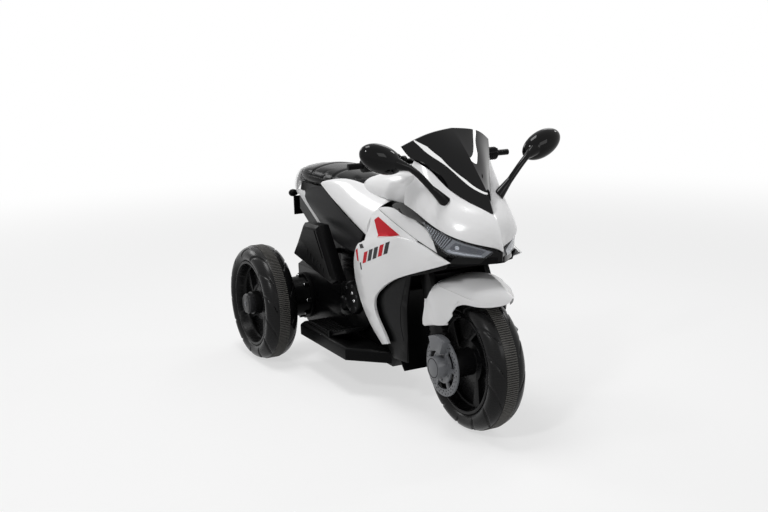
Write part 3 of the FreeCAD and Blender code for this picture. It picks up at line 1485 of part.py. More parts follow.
def make_socket():
    # A round charging jack on the tub's rear wall, its bore open to the rear.
    flange = "Sizes.frame_wall"
    turned_body("charge_socket", [
        ("0", "0"),
        ("0", "Sizes.socket_radius"),
        (flange, "Sizes.socket_radius"),
        (flange, "Sizes.socket_radius - Sizes.frame_wall"),
        ("Sizes.socket_depth", "Sizes.socket_radius - Sizes.frame_wall"),
        ("Sizes.socket_depth", "Sizes.socket_bore"),
        ("Sizes.socket_depth - Sizes.socket_bore_depth", "Sizes.socket_bore"),
        ("Sizes.socket_depth - Sizes.socket_bore_depth", "0"),
    ], (tub_rear, "0", "(Sizes.tub_top + Sizes.wheel_radius) / 2"),
        FreeCAD.Rotation(Vector(0, 1, 0), Vector(-1, 0, 0)))


make_rear_fittings()
make_socket()


# Muffler and mock engine

muffler_shares = [(-0.273, 0.46), (-0.159, 0.469), (-0.038, 0.229), (-0.076, 0.202), (-0.379, 0.273),
                  (-0.326, 0.36)]
muffler_outer_share = 1.27
muffler_bracket_share = (-0.17, 0.33)
engine_shares = [(-0.17, 0.02), (-0.02, -0.04), (0.068, 0.05), (0.068, 0.3), (-0.02, 0.36), (-0.15, 0.36)]
engine_disc_shares = [(-0.05, 0.13, 1.0), (0.02, 0.2, 0.55), (-0.12, 0.08, 0.45)]
engine_fin_along_shares = (-0.13, -0.01)
engine_fin_up_shares = (0.26, 0.29, 0.32, 0.35)
engine_fin_height_share = 0.5


def make_muffler():
    outer = size("body_half_width") * muffler_outer_share
    inner = outer - size("muffler_width")
    body = prism(side_outline([[share] for share in muffler_shares]), inner, outer)
    rim = [edge for edge in body.Edges if edge.BoundBox.YMax < -outer + size("panel_gap")]
    body = body.makeChamfer(size("muffler_chamfer"), rim)
    spot = at(muffler_bracket_share[0], 0, muffler_bracket_share[1])
    bracket = rod(Vector(spot.x, -size("frame_half_width"), spot.z),
                  Vector(spot.x, -inner - size("panel_wall"), spot.z), size("boss_radius"))
    feature("muffler", largest(body.fuse(bracket)))


def make_engine():
    # A cover plate with round cases and cooling fins on the frame's side.
    base = size("frame_half_width")
    face = base + size("engine_plate")
    cover = prism(side_outline([[share] for share in engine_shares]), base, face)
    pieces = []
    for along, up, share in engine_disc_shares:
        spot = at(along, 0, up)
        disc = rod(Vector(spot.x, -base, spot.z), Vector(spot.x, -face - size("engine_disc_height"), spot.z),
                   size("engine_disc_radius") * share)
        rim = [edge for edge in disc.Edges if edge.Closed and edge.BoundBox.YMax < -face]
        pieces.append(disc.makeChamfer(size("panel_wall"), rim))
    fin_start, fin_end = [at(share, 0, 0).x for share in engine_fin_along_shares]
    for up in engine_fin_up_shares:
        level = at(0, 0, up).z
        pieces.append(box_between(
            Vector(fin_start, -face - size("engine_disc_height") * engine_fin_height_share, level),
            Vector(fin_end, -base, level + size("panel_step"))))
    mirror_pair("engine_cover", largest(cover.fuse(pieces)))


make_muffler()
make_engine()


# Footboards and the accelerator pedal

footboard_rib_span_share = 0.66


def make_footboard(label, sign):
    # A ribbed board beside the tub; its front runs in to a point.
    body = new_body(label)
    plan = new_sketch(body, "XY_Plane")

    def out(rule):
        return f"{sign} * ({rule})"

    slope = "Sizes.footboard_point"
    draw_lines(plan, [
        ("Sizes.footboard_rear", out("Sizes.frame_half_width")),
        ("Sizes.footboard_rear", out("Sizes.footboard_outer - Sizes.footboard_round * 2")),
        ("Sizes.footboard_rear + Sizes.footboard_round * 2", out("Sizes.footboard_outer")),
        ("Sizes.footboard_front", out("Sizes.footboard_outer")),
        (f"Sizes.footboard_front + {slope}", out("Sizes.frame_half_width")),
    ])
    board = pad(body, plan, "Sizes.footboard_height")
    doc.recompute()
    top = size("footboard_height")
    inner = size("frame_half_width") + size("running_gap")
    rim = [f"Edge{index}" for index, edge in enumerate(board.Shape.Edges, 1)
           if edge.BoundBox.ZMin > top - size("running_gap") and edge.CenterOfMass.y * sign > inner]
    round_edge = body.newObject("PartDesign::Fillet", label + "_round")
    round_edge.Base = (board, rim)
    round_edge.setExpression("Radius", "Sizes.footboard_round")
    ribs = new_sketch(body, "XY_Plane")
    start = "Sizes.footboard_rear + Sizes.footboard_round * 3"
    end = "Sizes.pedal_heel - Sizes.footboard_round * 3"
    first = "Sizes.frame_half_width + Sizes.footboard_rib_width"
    draw_lines(ribs, [
        (start, out(first)),
        (end, out(first)),
        (end, out(f"{first} + Sizes.footboard_rib_width")),
        (start, out(f"{first} + Sizes.footboard_rib_width")),
    ])
    rib = pad(body, ribs, "Sizes.footboard_height + Sizes.footboard_rib_height")
    row_of = body.newObject("PartDesign::LinearPattern", label + "_ribs")
    row_of.Originals = [rib]
    row_of.Direction = (origin_part(body, "Y_Axis"), [""])
    row_of.Reversed = sign < 0
    row_of.setExpression("Length", "(Sizes.footboard_outer - Sizes.frame_half_width)"
                                   f" * {footboard_rib_span_share}")
    row_of.setExpression("Occurrences", "Sizes.footboard_rib_count")
    body.Tip = row_of
    if sign < 0:
        add_pedal_hinge(body)
    place_body(body, ("0", "0", "Sizes.footboard_bottom"))


pedal_edge = "(Sizes.pedal_middle + Sizes.pedal_width / 2 + Sizes.side_play)"
pedal_near = "(Sizes.pedal_middle - Sizes.pedal_width / 2 - Sizes.side_play)"
pin_level = "(Sizes.footboard_height + Sizes.pedal_pin_height)"


def add_pedal_hinge(body):
    # Two lugs with the pedal's pin moulded between them.
    lugs = new_sketch(body, "XY_Plane")
    rear = "Sizes.pedal_heel - Sizes.pedal_lug_thickness"
    front = "Sizes.pedal_heel + Sizes.pedal_lug_thickness"
    for near, far in ((pedal_near, f"{pedal_near} - Sizes.pedal_lug_thickness"),
                      (f"{pedal_edge} + Sizes.pedal_lug_thickness", pedal_edge)):
        draw_lines(lugs, [
            (rear, f"-({near})"),
            (front, f"-({near})"),
            (front, f"-({far})"),
            (rear, f"-({far})"),
        ])
    pad(body, lugs, f"{pin_level} + Sizes.pedal_pin_radius + Sizes.pedal_lug_thickness / 2")
    pin = body.newObject("PartDesign::AdditiveCylinder", "pedal_pin")
    pin.setExpression("Radius", "Sizes.pedal_pin_radius")
    pin.setExpression("Height", f"{pedal_edge} - {pedal_near} + Sizes.pedal_lug_thickness")
    pin.Placement = FreeCAD.Placement(Vector(0, 0, 0), FreeCAD.Rotation(Vector(1, 0, 0), 90))
    pin.setExpression("Placement.Base.x", "Sizes.pedal_heel")
    pin.setExpression("Placement.Base.y", f"-({pedal_near}) + Sizes.pedal_lug_thickness / 2")
    pin.setExpression("Placement.Base.z", pin_level)


pedal_rib_share = 0.5


def make_pedal():
    # A wedge of plate with cross ribs, bored for the pin at its heel.
    body = new_body("accelerator_pedal")
    side = new_sketch(body, "XZ_Plane")
    slope = "Sizes.pedal_lift_angle"
    boss = "(Sizes.pedal_pin_radius * 2)"

    def on_plate(along, up):
        return (f"({along}) * cos({slope}) - ({up}) * sin({slope})",
                f"({along}) * sin({slope}) + ({up}) * cos({slope})")

    spots = [on_plate(f"-{boss}", f"-{boss}"), on_plate(boss, f"-{boss}"),
             on_plate("Sizes.pedal_length", f"-{boss} + Sizes.pedal_thickness / 2"),
             on_plate("Sizes.pedal_length", f"Sizes.pedal_thickness - {boss}")]
    pitch = f"(Sizes.pedal_length - {boss}) / Sizes.pedal_rib_count"
    top = f"Sizes.pedal_thickness - {boss}"
    for index in range(int(size("pedal_rib_count")) - 1, -1, -1):
        start = f"{boss} + {pitch} * ({index} + {pedal_rib_share} / 2)"
        end = f"{start} + {pitch} * {pedal_rib_share}"
        spots += [on_plate(end, top), on_plate(end, f"{top} + Sizes.pedal_rib_rise"),
                  on_plate(start, f"{top} + Sizes.pedal_rib_rise"), on_plate(start, top)]
    spots += [on_plate(boss, top), on_plate(boss, boss), on_plate(f"-{boss}", boss)]
    draw_lines(side, spots)
    pad(body, side, "Sizes.pedal_width", middle=True)
    bore = new_sketch(body, "XZ_Plane")
    reach = size("pedal_pin_radius") + size("running_gap")
    ring = bore.addGeometry(Part.Circle(Vector(0, 0, 0), Vector(0, 0, 1), reach))
    bore.addConstraint(Sketcher.Constraint("Coincident", ring, 3, -1, 1))
    index = bore.addConstraint(Sketcher.Constraint("Radius", ring, reach))
    bore.setExpression(f"Constraints[{index}]", "Sizes.pedal_pin_radius + Sizes.running_gap")
    through_pocket(body, bore)
    place_body(body, ("Sizes.pedal_heel", "-Sizes.pedal_middle", f"Sizes.footboard_bottom + {pin_level}"))


make_footboard("right_footboard", -1)
make_footboard("left_footboard", 1)
make_pedal()


# Control console with its push buttons and direction rocker

power_place_shares = (0.24, 0.24)
rocker_place_shares = (0.24, -0.24)
horn_place_shares = (-0.26, 0.0)


def console_spot(shares):
    return (size("console_length") * shares[0], size("console_width") * shares[1])


def make_console():
    body = new_body("control_console")
    plan = new_sketch(body, "XY_Plane")
    long_half = "Sizes.console_length / 2"
    wide_half = "Sizes.console_width / 2"
    draw_lines(plan, [
        (f"-{long_half}", f"-{wide_half}"),
        (long_half, f"-{wide_half}"),
        (long_half, wide_half),
        (f"-{long_half}", wide_half),
    ])
    pad(body, plan, "Sizes.console_thickness + Sizes.console_rise")
    holes = new_sketch(body, "XY_Plane")
    holes.setExpression("AttachmentOffset.Base.z", "Sizes.console_thickness + Sizes.console_rise")
    for along, across in (power_place_shares, horn_place_shares):
        rules = (f"Sizes.console_length * {along}", f"Sizes.console_width * {across}" if across else "0")
        reach = size("button_radius") + size("button_gap")
        spot = Vector(*console_spot((along, across)), 0)
        ring = holes.addGeometry(Part.Circle(spot, Vector(0, 0, 1), reach))
        pin_point(holes, ring, 3, rules)
        index = holes.addConstraint(Sketcher.Constraint("Radius", ring, reach))
        holes.setExpression(f"Constraints[{index}]", "Sizes.button_radius + Sizes.button_gap")
    middle = f"Sizes.console_length * {rocker_place_shares[0]}"
    level = f"Sizes.console_width * {rocker_place_shares[1]}"
    half_long = "(Sizes.rocker_length / 2 + Sizes.rocker_room)"
    half_wide = "(Sizes.rocker_width / 2 + Sizes.button_gap)"
    draw_lines(holes, [
        (f"{middle} - {half_long}", f"{level} - {half_wide}"),
        (f"{middle} + {half_long}", f"{level} - {half_wide}"),
        (f"{middle} + {half_long}", f"{level} + {half_wide}"),
        (f"{middle} - {half_long}", f"{level} + {half_wide}"),
    ])
    pocket = body.newObject("PartDesign::Pocket", "console_holes")
    pocket.Profile = holes
    pocket.setExpression("Length", "Sizes.button_height + Sizes.button_travel - Sizes.console_rise")
    body.Placement = console_frame(0, 0, -size("console_thickness"))


def make_button(label, shares):
    # A round push button, chamfered on top, standing proud of the console.
    body = turned_body(label, [
        ("0", "0"),
        ("0", "Sizes.button_radius"),
        ("Sizes.button_height - Sizes.button_gap * 3", "Sizes.button_radius"),
        ("Sizes.button_height", "Sizes.button_radius - Sizes.button_gap * 3"),
        ("Sizes.button_height", "0"),
    ], ("0", "0", "0"))
    level = size("console_rise") + size("button_proud") - size("button_height")
    place = console_frame(*console_spot(shares), level)
    upright = FreeCAD.Rotation(Vector(0, 1, 0), Vector(0, 0, 1))
    for axis in "xyz":
        body.setExpression("Placement.Base." + axis, None)
    body.Placement = FreeCAD.Placement(place.Base, place.Rotation.multiply(upright))


rocker_low_share = 0.45


def make_rocker():
    # A two-way rocker with raised ends and a round underside about its pivot.
    body = new_body("direction_rocker")
    side = new_sketch(body, "XZ_Plane")
    round_radius = f"(Sizes.rocker_height * {rocker_low_share})"
    under = "-Sizes.rocker_room"
    edge = f"sqrt({round_radius} ^ 2 - Sizes.rocker_room ^ 2)"
    top = f"Sizes.rocker_height * {1 - rocker_low_share}"
    draw_loop(side, [
        ((f"-{edge}", under),),
        (("0", f"-{round_radius}"), (edge, under)),
        (("Sizes.rocker_length / 2", under),),
        (("Sizes.rocker_length / 2", top),),
        (("0", f"{top} - Sizes.rocker_room * 2"),),
        (("-Sizes.rocker_length / 2", top),),
        (("-Sizes.rocker_length / 2", under),),
    ])
    pad(body, side, "Sizes.rocker_width", middle=True)
    body.Placement = console_frame(*console_spot(rocker_place_shares), size("console_rise"))


make_console()
make_button("power_button", power_place_shares)
make_button("horn_button", horn_place_shares)
make_rocker()


# Check every object, then write one file per node

doc.recompute()
for item in doc.Objects:
    if "Invalid" in item.State or "Error" in item.State:
        raise RuntimeError(f"{item.Label} did not build: {item.State}")
os.makedirs("parts", exist_ok=True)
for label, item in nodes.items():
    if item.Shape.isNull() or not item.Shape.isValid():
        raise RuntimeError(f"{label} has no valid shape")
    item.Shape.exportStep(f"parts/{label}.step")
print(len(nodes), "nodes written")
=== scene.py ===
import json
import math

import bmesh
import bpy
import numpy as np
from mathutils import Matrix, Vector
from mathutils.bvhtree import BVHTree


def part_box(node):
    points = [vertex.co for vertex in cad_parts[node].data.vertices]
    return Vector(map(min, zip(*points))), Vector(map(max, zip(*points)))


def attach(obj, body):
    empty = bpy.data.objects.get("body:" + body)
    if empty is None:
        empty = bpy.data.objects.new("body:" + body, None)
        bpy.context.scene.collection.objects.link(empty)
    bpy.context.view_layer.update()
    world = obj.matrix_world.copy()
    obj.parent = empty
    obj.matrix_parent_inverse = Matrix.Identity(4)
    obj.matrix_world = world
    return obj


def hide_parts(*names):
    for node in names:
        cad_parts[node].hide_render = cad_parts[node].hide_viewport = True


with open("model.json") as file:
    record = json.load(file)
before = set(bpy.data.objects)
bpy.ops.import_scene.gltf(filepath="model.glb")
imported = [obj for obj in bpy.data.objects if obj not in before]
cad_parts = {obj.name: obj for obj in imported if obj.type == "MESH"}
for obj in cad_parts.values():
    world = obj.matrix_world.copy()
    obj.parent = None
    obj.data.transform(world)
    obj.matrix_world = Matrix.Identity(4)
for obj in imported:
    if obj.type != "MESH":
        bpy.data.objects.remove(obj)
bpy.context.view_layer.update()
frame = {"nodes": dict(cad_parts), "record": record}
cadNodes = frame["nodes"]
bodyOf = {node: body for body, members in frame["record"]["behaviour"]["bodies"].items() for node in members}
slotOf = {part["node"]: part["material_slot"] for part in frame["record"]["subparts"]}
scene = bpy.context.scene
scene.view_settings.view_transform = "Standard"
print("frame loaded:", len(cadNodes), "nodes")


# camera at the photograph's place, worked out from the wheels, mirrors and panel corners
cameraSettings = {
    "place": (2.0761, -1.0975, 0.7913),
    "yaw": 152.5107,
    "pitch": -12.2306,
    "roll": -1.6574,
    "lens": 52.16,
    "sensor": 36,
}


def makeCamera(settings):
    yaw, pitch, roll = [math.radians(settings[key]) for key in ("yaw", "pitch", "roll")]
    forward = Vector((math.cos(yaw) * math.cos(pitch), math.sin(yaw) * math.cos(pitch), math.sin(pitch)))
    right = forward.cross(Vector((0, 0, 1))).normalized()
    upward = right.cross(forward)
    right, upward = (right * math.cos(roll) + upward * math.sin(roll),
                     upward * math.cos(roll) - right * math.sin(roll))
    data = bpy.data.cameras.new("photoCamera")
    data.lens = settings["lens"]
    data.sensor_width = settings["sensor"]
    camera = bpy.data.objects.new("photoCamera", data)
    turn = Matrix((right, upward, -forward)).transposed().to_4x4()
    camera.matrix_world = Matrix.Translation(settings["place"]) @ turn
    scene.collection.objects.link(camera)
    scene.camera = camera


makeCamera(cameraSettings)
print("camera placed")


# node helpers

def addNode(tree, kind, **settings):
    node = tree.nodes.new(kind)
    for name, value in settings.items():
        setattr(node, name, value)
    return node


def newGroup(name, kind, inputs, outputs):
    group = bpy.data.node_groups.new(name, kind)
    for label, socketKind, value in inputs:
        socket = group.interface.new_socket(label, in_out="INPUT", socket_type=socketKind)
        if value is not None:
            socket.default_value = value
    for label, socketKind in outputs:
        group.interface.new_socket(label, in_out="OUTPUT", socket_type=socketKind)
    return group, group.nodes.new("NodeGroupInput"), group.nodes.new("NodeGroupOutput")


def link(tree, start, end):
    tree.links.new(start, end)


# studio: pale floor, soft boxes and a white surround
studioSettings = {
    "floorSize": 14.0,
    "floorColor": (0.86, 0.86, 0.86, 1),
    "floorLift": 0.6,          # share of plain white that the eye sees on the floor
    "fadeFrom": 1.2,
    "fadeTo": 3.4,
    "worldLight": 0.2,
    "lamps": [
        # name, place, target, width, height, watts
        ("overheadBox", (-0.15, -0.35, 2.5), (0, 0, 0.2), 0.9, 0.7, 25),
        ("sideWindow", (1.1, -1.5, 1.85), (0.2, 0, 0.35), 0.24, 0.34, 13),
        ("leftWindow", (0.05, 1.75, 1.62), (0.1, 0, 0.35), 0.2, 0.3, 4),
        ("leftFill", (-1.3, 1.7, 2.1), (0.0, 0, 0.3), 1.0, 1.0, 9),
        ("noseBox", (2.3, 0.6, 1.3), (0.3, 0, 0.35), 1.0, 0.8, 8),
        ("rearBox", (-2.2, -0.9, 1.7), (-0.1, 0, 0.3), 0.7, 0.7, 12),
    ],
}


def makeFloor(settings):
    half = settings["floorSize"] / 2
    mesh = bpy.data.meshes.new("studioFloor")
    corners = [(-half, -half, 0), (half, -half, 0), (half, half, 0), (-half, half, 0)]
    mesh.from_pydata(corners, [], [(0, 1, 2, 3)])
    floor = bpy.data.objects.new("studioFloor", mesh)
    scene.collection.objects.link(floor)
    material = bpy.data.materials.new("floorPaper")
    material.use_nodes = True
    tree = material.node_tree
    tree.nodes.clear()
    paper = addNode(tree, "ShaderNodeBsdfDiffuse")
    paper.inputs["Color"].default_value = settings["floorColor"]
    white = addNode(tree, "ShaderNodeEmission")
    spot = addNode(tree, "ShaderNodeTexCoord")
    far = addNode(tree, "ShaderNodeVectorMath", operation="LENGTH")
    fade = addNode(tree, "ShaderNodeMapRange", interpolation_type="SMOOTHSTEP")
    fade.inputs["From Min"].default_value = settings["fadeFrom"]
    fade.inputs["From Max"].default_value = settings["fadeTo"]
    fade.inputs["To Min"].default_value = settings["floorLift"]
    link(tree, spot.outputs["Object"], far.inputs[0])
    link(tree, far.outputs["Value"], fade.inputs["Value"])
    seen = seenRay(tree)
    share = addNode(tree, "ShaderNodeMath", operation="MULTIPLY")
    link(tree, seen, share.inputs[0])
    link(tree, fade.outputs["Result"], share.inputs[1])
    mix = addNode(tree, "ShaderNodeMixShader")
    link(tree, share.outputs[0], mix.inputs["Fac"])
    link(tree, paper.outputs[0], mix.inputs[1])
    link(tree, white.outputs[0], mix.inputs[2])
    link(tree, mix.outputs[0], addNode(tree, "ShaderNodeOutputMaterial").inputs["Surface"])
    mesh.materials.append(material)


def seenRay(tree):
    # 1 for what the eye sees straight, in a reflection or through glass
    path = addNode(tree, "ShaderNodeLightPath")
    first = addNode(tree, "ShaderNodeMath", operation="MAXIMUM")
    both = addNode(tree, "ShaderNodeMath", operation="MAXIMUM")
    link(tree, path.outputs["Is Camera Ray"], first.inputs[0])
    link(tree, path.outputs["Is Glossy Ray"], first.inputs[1])
    link(tree, first.outputs[0], both.inputs[0])
    link(tree, path.outputs["Is Transmission Ray"], both.inputs[1])
    return both.outputs[0]


def makeWorld(settings):
    world = bpy.data.worlds.new("studioWorld")
    scene.world = world
    world.use_nodes = True
    tree = world.node_tree
    tree.nodes.clear()
    sky = addNode(tree, "ShaderNodeBackground")
    sky.inputs["Strength"].default_value = settings["worldLight"]
    white = addNode(tree, "ShaderNodeBackground")
    mix = addNode(tree, "ShaderNodeMixShader")
    link(tree, seenRay(tree), mix.inputs["Fac"])
    link(tree, sky.outputs[0], mix.inputs[1])
    link(tree, white.outputs[0], mix.inputs[2])
    link(tree, mix.outputs[0], addNode(tree, "ShaderNodeOutputWorld").inputs["Surface"])
    for node in (sky, white):
        node.inputs["Color"].default_value = (1, 1, 1, 1)


def makeLamps(settings):
    for name, place, target, width, height, watts in settings["lamps"]:
        data = bpy.data.lights.new(name, "AREA")
        data.shape = "RECTANGLE"
        data.size = width
        data.size_y = height
        data.energy = watts
        lamp = bpy.data.objects.new(name, data)
        aim = (Vector(target) - Vector(place)).to_track_quat("-Z", "Y")
        lamp.matrix_world = Matrix.Translation(place) @ aim.to_matrix().to_4x4()
        scene.collection.objects.link(lamp)


makeFloor(studioSettings)
makeWorld(studioSettings)
makeLamps(studioSettings)
print("studio built")


# shared surface effects

def makeGrainGroup():
    # moulding grain: fine height for the bump and a slow tone over the whole piece
    group, given, result = newGroup("mouldGrain", "ShaderNodeTree", [
        ("Grain Scale", "NodeSocketFloat", 900.0),
        ("Tone Scale", "NodeSocketFloat", 14.0),
    ], [("Height", "NodeSocketFloat"), ("Tone", "NodeSocketFloat")])
    spot = addNode(group, "ShaderNodeTexCoord")
    for scaleName, outName, detail in (("Grain Scale", "Height", 3), ("Tone Scale", "Tone", 5)):
        speckle = addNode(group, "ShaderNodeTexNoise")
        speckle.inputs["Detail"].default_value = detail
        link(group, spot.outputs["Object"], speckle.inputs["Vector"])
        link(group, given.outputs[scaleName], speckle.inputs["Scale"])
        link(group, speckle.outputs["Fac"], result.inputs[outName])
    return group


# wear: hairline rubs left by hands and shoes, and dust that settles on what faces up
wearSettings = {
    "stretch": (0.35, 1.0, 5.0), "turn": (0.3, 0.5, 0.2), "rubDetail": 6, "rubSpan": (0.55, 0.78),
    "dustFrom": 0.35, "dustScale": 35, "dustDetail": 8,
}


def makeWearGroup(settings):
    group, given, result = newGroup("handlingWear", "ShaderNodeTree", [
        ("Rub Scale", "NodeSocketFloat", 60.0),
        ("Rub Amount", "NodeSocketFloat", 0.5),
        ("Dust Amount", "NodeSocketFloat", 0.2),
    ], [("Rubs", "NodeSocketFloat"), ("Dust", "NodeSocketFloat")])
    spot = addNode(group, "ShaderNodeTexCoord")
    stretch = addNode(group, "ShaderNodeMapping")
    stretch.inputs["Scale"].default_value = settings["stretch"]
    stretch.inputs["Rotation"].default_value = settings["turn"]
    streaks = addNode(group, "ShaderNodeTexNoise")
    streaks.inputs["Detail"].default_value = settings["rubDetail"]
    thin = addNode(group, "ShaderNodeMapRange", interpolation_type="SMOOTHSTEP")
    thin.inputs["From Min"].default_value, thin.inputs["From Max"].default_value = settings["rubSpan"]
    amount = addNode(group, "ShaderNodeMath", operation="MULTIPLY")
    link(group, spot.outputs["Object"], stretch.inputs["Vector"])
    link(group, stretch.outputs["Vector"], streaks.inputs["Vector"])
    link(group, given.outputs["Rub Scale"], streaks.inputs["Scale"])
    link(group, streaks.outputs["Fac"], thin.inputs["Value"])
    link(group, thin.outputs["Result"], amount.inputs[0])
    link(group, given.outputs["Rub Amount"], amount.inputs[1])
    link(group, amount.outputs[0], result.inputs["Rubs"])
    surface = addNode(group, "ShaderNodeNewGeometry")
    split = addNode(group, "ShaderNodeSeparateXYZ")
    upward = addNode(group, "ShaderNodeMapRange", interpolation_type="SMOOTHSTEP")
    upward.inputs["From Min"].default_value = settings["dustFrom"]
    patchy = addNode(group, "ShaderNodeTexNoise")
    patchy.inputs["Scale"].default_value = settings["dustScale"]
    patchy.inputs["Detail"].default_value = settings["dustDetail"]
    settled = addNode(group, "ShaderNodeMath", operation="MULTIPLY")
    share = addNode(group, "ShaderNodeMath", operation="MULTIPLY")
    link(group, surface.outputs["Normal"], split.inputs[0])
    link(group, split.outputs["Z"], upward.inputs["Value"])
    link(group, spot.outputs["Object"], patchy.inputs["Vector"])
    link(group, upward.outputs["Result"], settled.inputs[0])
    link(group, patchy.outputs["Fac"], settled.inputs[1])
    link(group, settled.outputs[0], share.inputs[0])
    link(group, given.outputs["Dust Amount"], share.inputs[1])
    link(group, share.outputs[0], result.inputs["Dust"])
    return group


grainGroup = makeGrainGroup()
wearGroup = makeWearGroup(wearSettings)


# finishes: colour, how glossy, how much grain, rubs and dust
finishSettings = {
    "whitePanel": {"color": (0.8, 0.8, 0.805), "roughness": (0.2, 0.32), "coat": 0.12, "grain": 260,
                   "bump": 0.01, "tone": 0.03, "rubs": 0.25, "dust": 0.03},
    "satinBlack": {"color": (0.0035, 0.0035, 0.0038), "roughness": (0.3, 0.46), "specular": 0.05,
                   "grain": 1500, "bump": 0.09, "tone": 0.3, "rubs": 0.55, "dust": 0.008},
    # satin grey also paints the belly sheen and the shade ring on the front caps
    "satinGrey": {"color": (0.012, 0.012, 0.0128), "roughness": (0.38, 0.52), "specular": 0.04, "grain": 1700,
                  "bump": 0.1, "tone": 0.2, "rubs": 0.4, "dust": 0.008},
    "glossBlack": {"color": (0.0025, 0.0025, 0.0028), "roughness": (0.03, 0.08), "specular": 0.14,
                   "grain": 200, "bump": 0.004, "tone": 0.2, "rubs": 0.25, "dust": 0.004},
    "screenBlack": {"color": (0.002, 0.002, 0.0024), "roughness": (0.02, 0.05), "specular": 0.2, "grain": 120,
                    "bump": 0.002, "tone": 0.2, "rubs": 0.2, "dust": 0.003},
    "tyreBlack": {"color": (0.0055, 0.0055, 0.0058), "roughness": (0.26, 0.4), "specular": 0.16, "grain": 900,
                  "bump": 0.05, "tone": 0.3, "rubs": 0.6, "dust": 0.014},
    "treadRib": {"color": (0.1, 0.097, 0.09), "roughness": (0.45, 0.65), "specular": 0.2, "grain": 1300,
                 "bump": 0.06, "tone": 0.35, "rubs": 0.5, "dust": 0.03},
    "rimBlack": {"color": (0.006, 0.006, 0.0064), "roughness": (0.26, 0.4), "specular": 0.12, "grain": 1400,
                 "bump": 0.06, "tone": 0.2, "rubs": 0.4, "dust": 0.01},
    "hubGrey": {"color": (0.032, 0.032, 0.034), "roughness": (0.3, 0.44), "specular": 0.2, "grain": 1200,
                "bump": 0.05, "tone": 0.2, "rubs": 0.4, "dust": 0.01},
    "trimGrey": {"color": (0.13, 0.135, 0.145), "roughness": (0.28, 0.42), "specular": 0.4, "grain": 1200,
                 "bump": 0.05, "tone": 0.15, "rubs": 0.4, "dust": 0.02},
    "gripRubber": {"color": (0.006, 0.006, 0.006), "roughness": (0.6, 0.75), "specular": 0.1, "grain": 2200,
                   "bump": 0.14, "tone": 0.2, "rubs": 0.3, "dust": 0.01},
    "seatVinyl": {"color": (0.005, 0.005, 0.0054), "roughness": (0.16, 0.3), "specular": 0.05, "grain": 1100,
                  "bump": 0.1, "tone": 0.3, "rubs": 0.4, "dust": 0.006},
    "lampRed": {"color": (0.5, 0.012, 0.012), "roughness": (0.08, 0.16), "coat": 0.5, "grain": 300,
                "bump": 0.01, "tone": 0.1, "rubs": 0.2, "dust": 0.02},
    "lampChrome": {"color": (0.6, 0.61, 0.63), "roughness": (0.14, 0.28), "grain": 500,
                   "bump": 0.02, "tone": 0.15, "rubs": 0.3, "dust": 0.0, "metallic": 0.85},
    "lampGrey": {"color": (0.3, 0.305, 0.32), "roughness": (0.24, 0.36), "specular": 0.3, "grain": 700,
                 "bump": 0.03, "tone": 0.2, "rubs": 0.3, "dust": 0.0},
    "lampDark": {"color": (0.03, 0.031, 0.034), "roughness": (0.24, 0.36), "specular": 0.2, "grain": 700,
                 "bump": 0.03, "tone": 0.2, "rubs": 0.3, "dust": 0.0},
    "lampPane": {"color": (0.14, 0.145, 0.16), "roughness": (0.16, 0.26), "specular": 0.3, "grain": 500,
                 "bump": 0.02, "tone": 0.25, "rubs": 0.3, "dust": 0.0},
    "decalRed": {"color": (0.54, 0.008, 0.018), "roughness": (0.24, 0.36), "specular": 0.06, "grain": 400,
                 "bump": 0.01, "tone": 0.05, "rubs": 0.3, "dust": 0.02},
    # this flat black serves decals and dials, and also paints the shade of the brake disc holes
    "decalBlack": {"color": (0.008, 0.008, 0.009), "roughness": (0.2, 0.3), "specular": 0.15, "grain": 400,
                   "bump": 0.01, "tone": 0.05, "rubs": 0.3, "dust": 0.02},
    "brightSteel": {"color": (0.55, 0.55, 0.56), "roughness": (0.22, 0.36), "grain": 1600,
                    "bump": 0.03, "tone": 0.1, "rubs": 0.5, "dust": 0.01, "metallic": 1.0},
    "mirrorGlass": {"color": (0.82, 0.84, 0.86), "roughness": (0.02, 0.05), "grain": 60,
                    "bump": 0.002, "tone": 0.03, "rubs": 0.1, "dust": 0.01, "metallic": 1.0},
    "batteryGrey": {"color": (0.06, 0.06, 0.065), "roughness": (0.4, 0.5), "grain": 1200,
                    "bump": 0.05, "tone": 0.2, "rubs": 0.3, "dust": 0.05},
    "dialWhite": {"color": (0.62, 0.62, 0.6), "roughness": (0.4, 0.5), "grain": 900,
                  "bump": 0.02, "tone": 0.05, "rubs": 0.2, "dust": 0.01},
}
lensSettings = {"color": (0.8, 0.82, 0.85), "roughness": (0.02, 0.06), "grain": 120,
                "bump": 0.004, "tone": 0.08, "rubs": 0.3, "dust": 0.0, "bend": 1.3}
dustColor = (0.42, 0.4, 0.37, 1)
grainDepth = 0.001
coatRoughness = 0.04


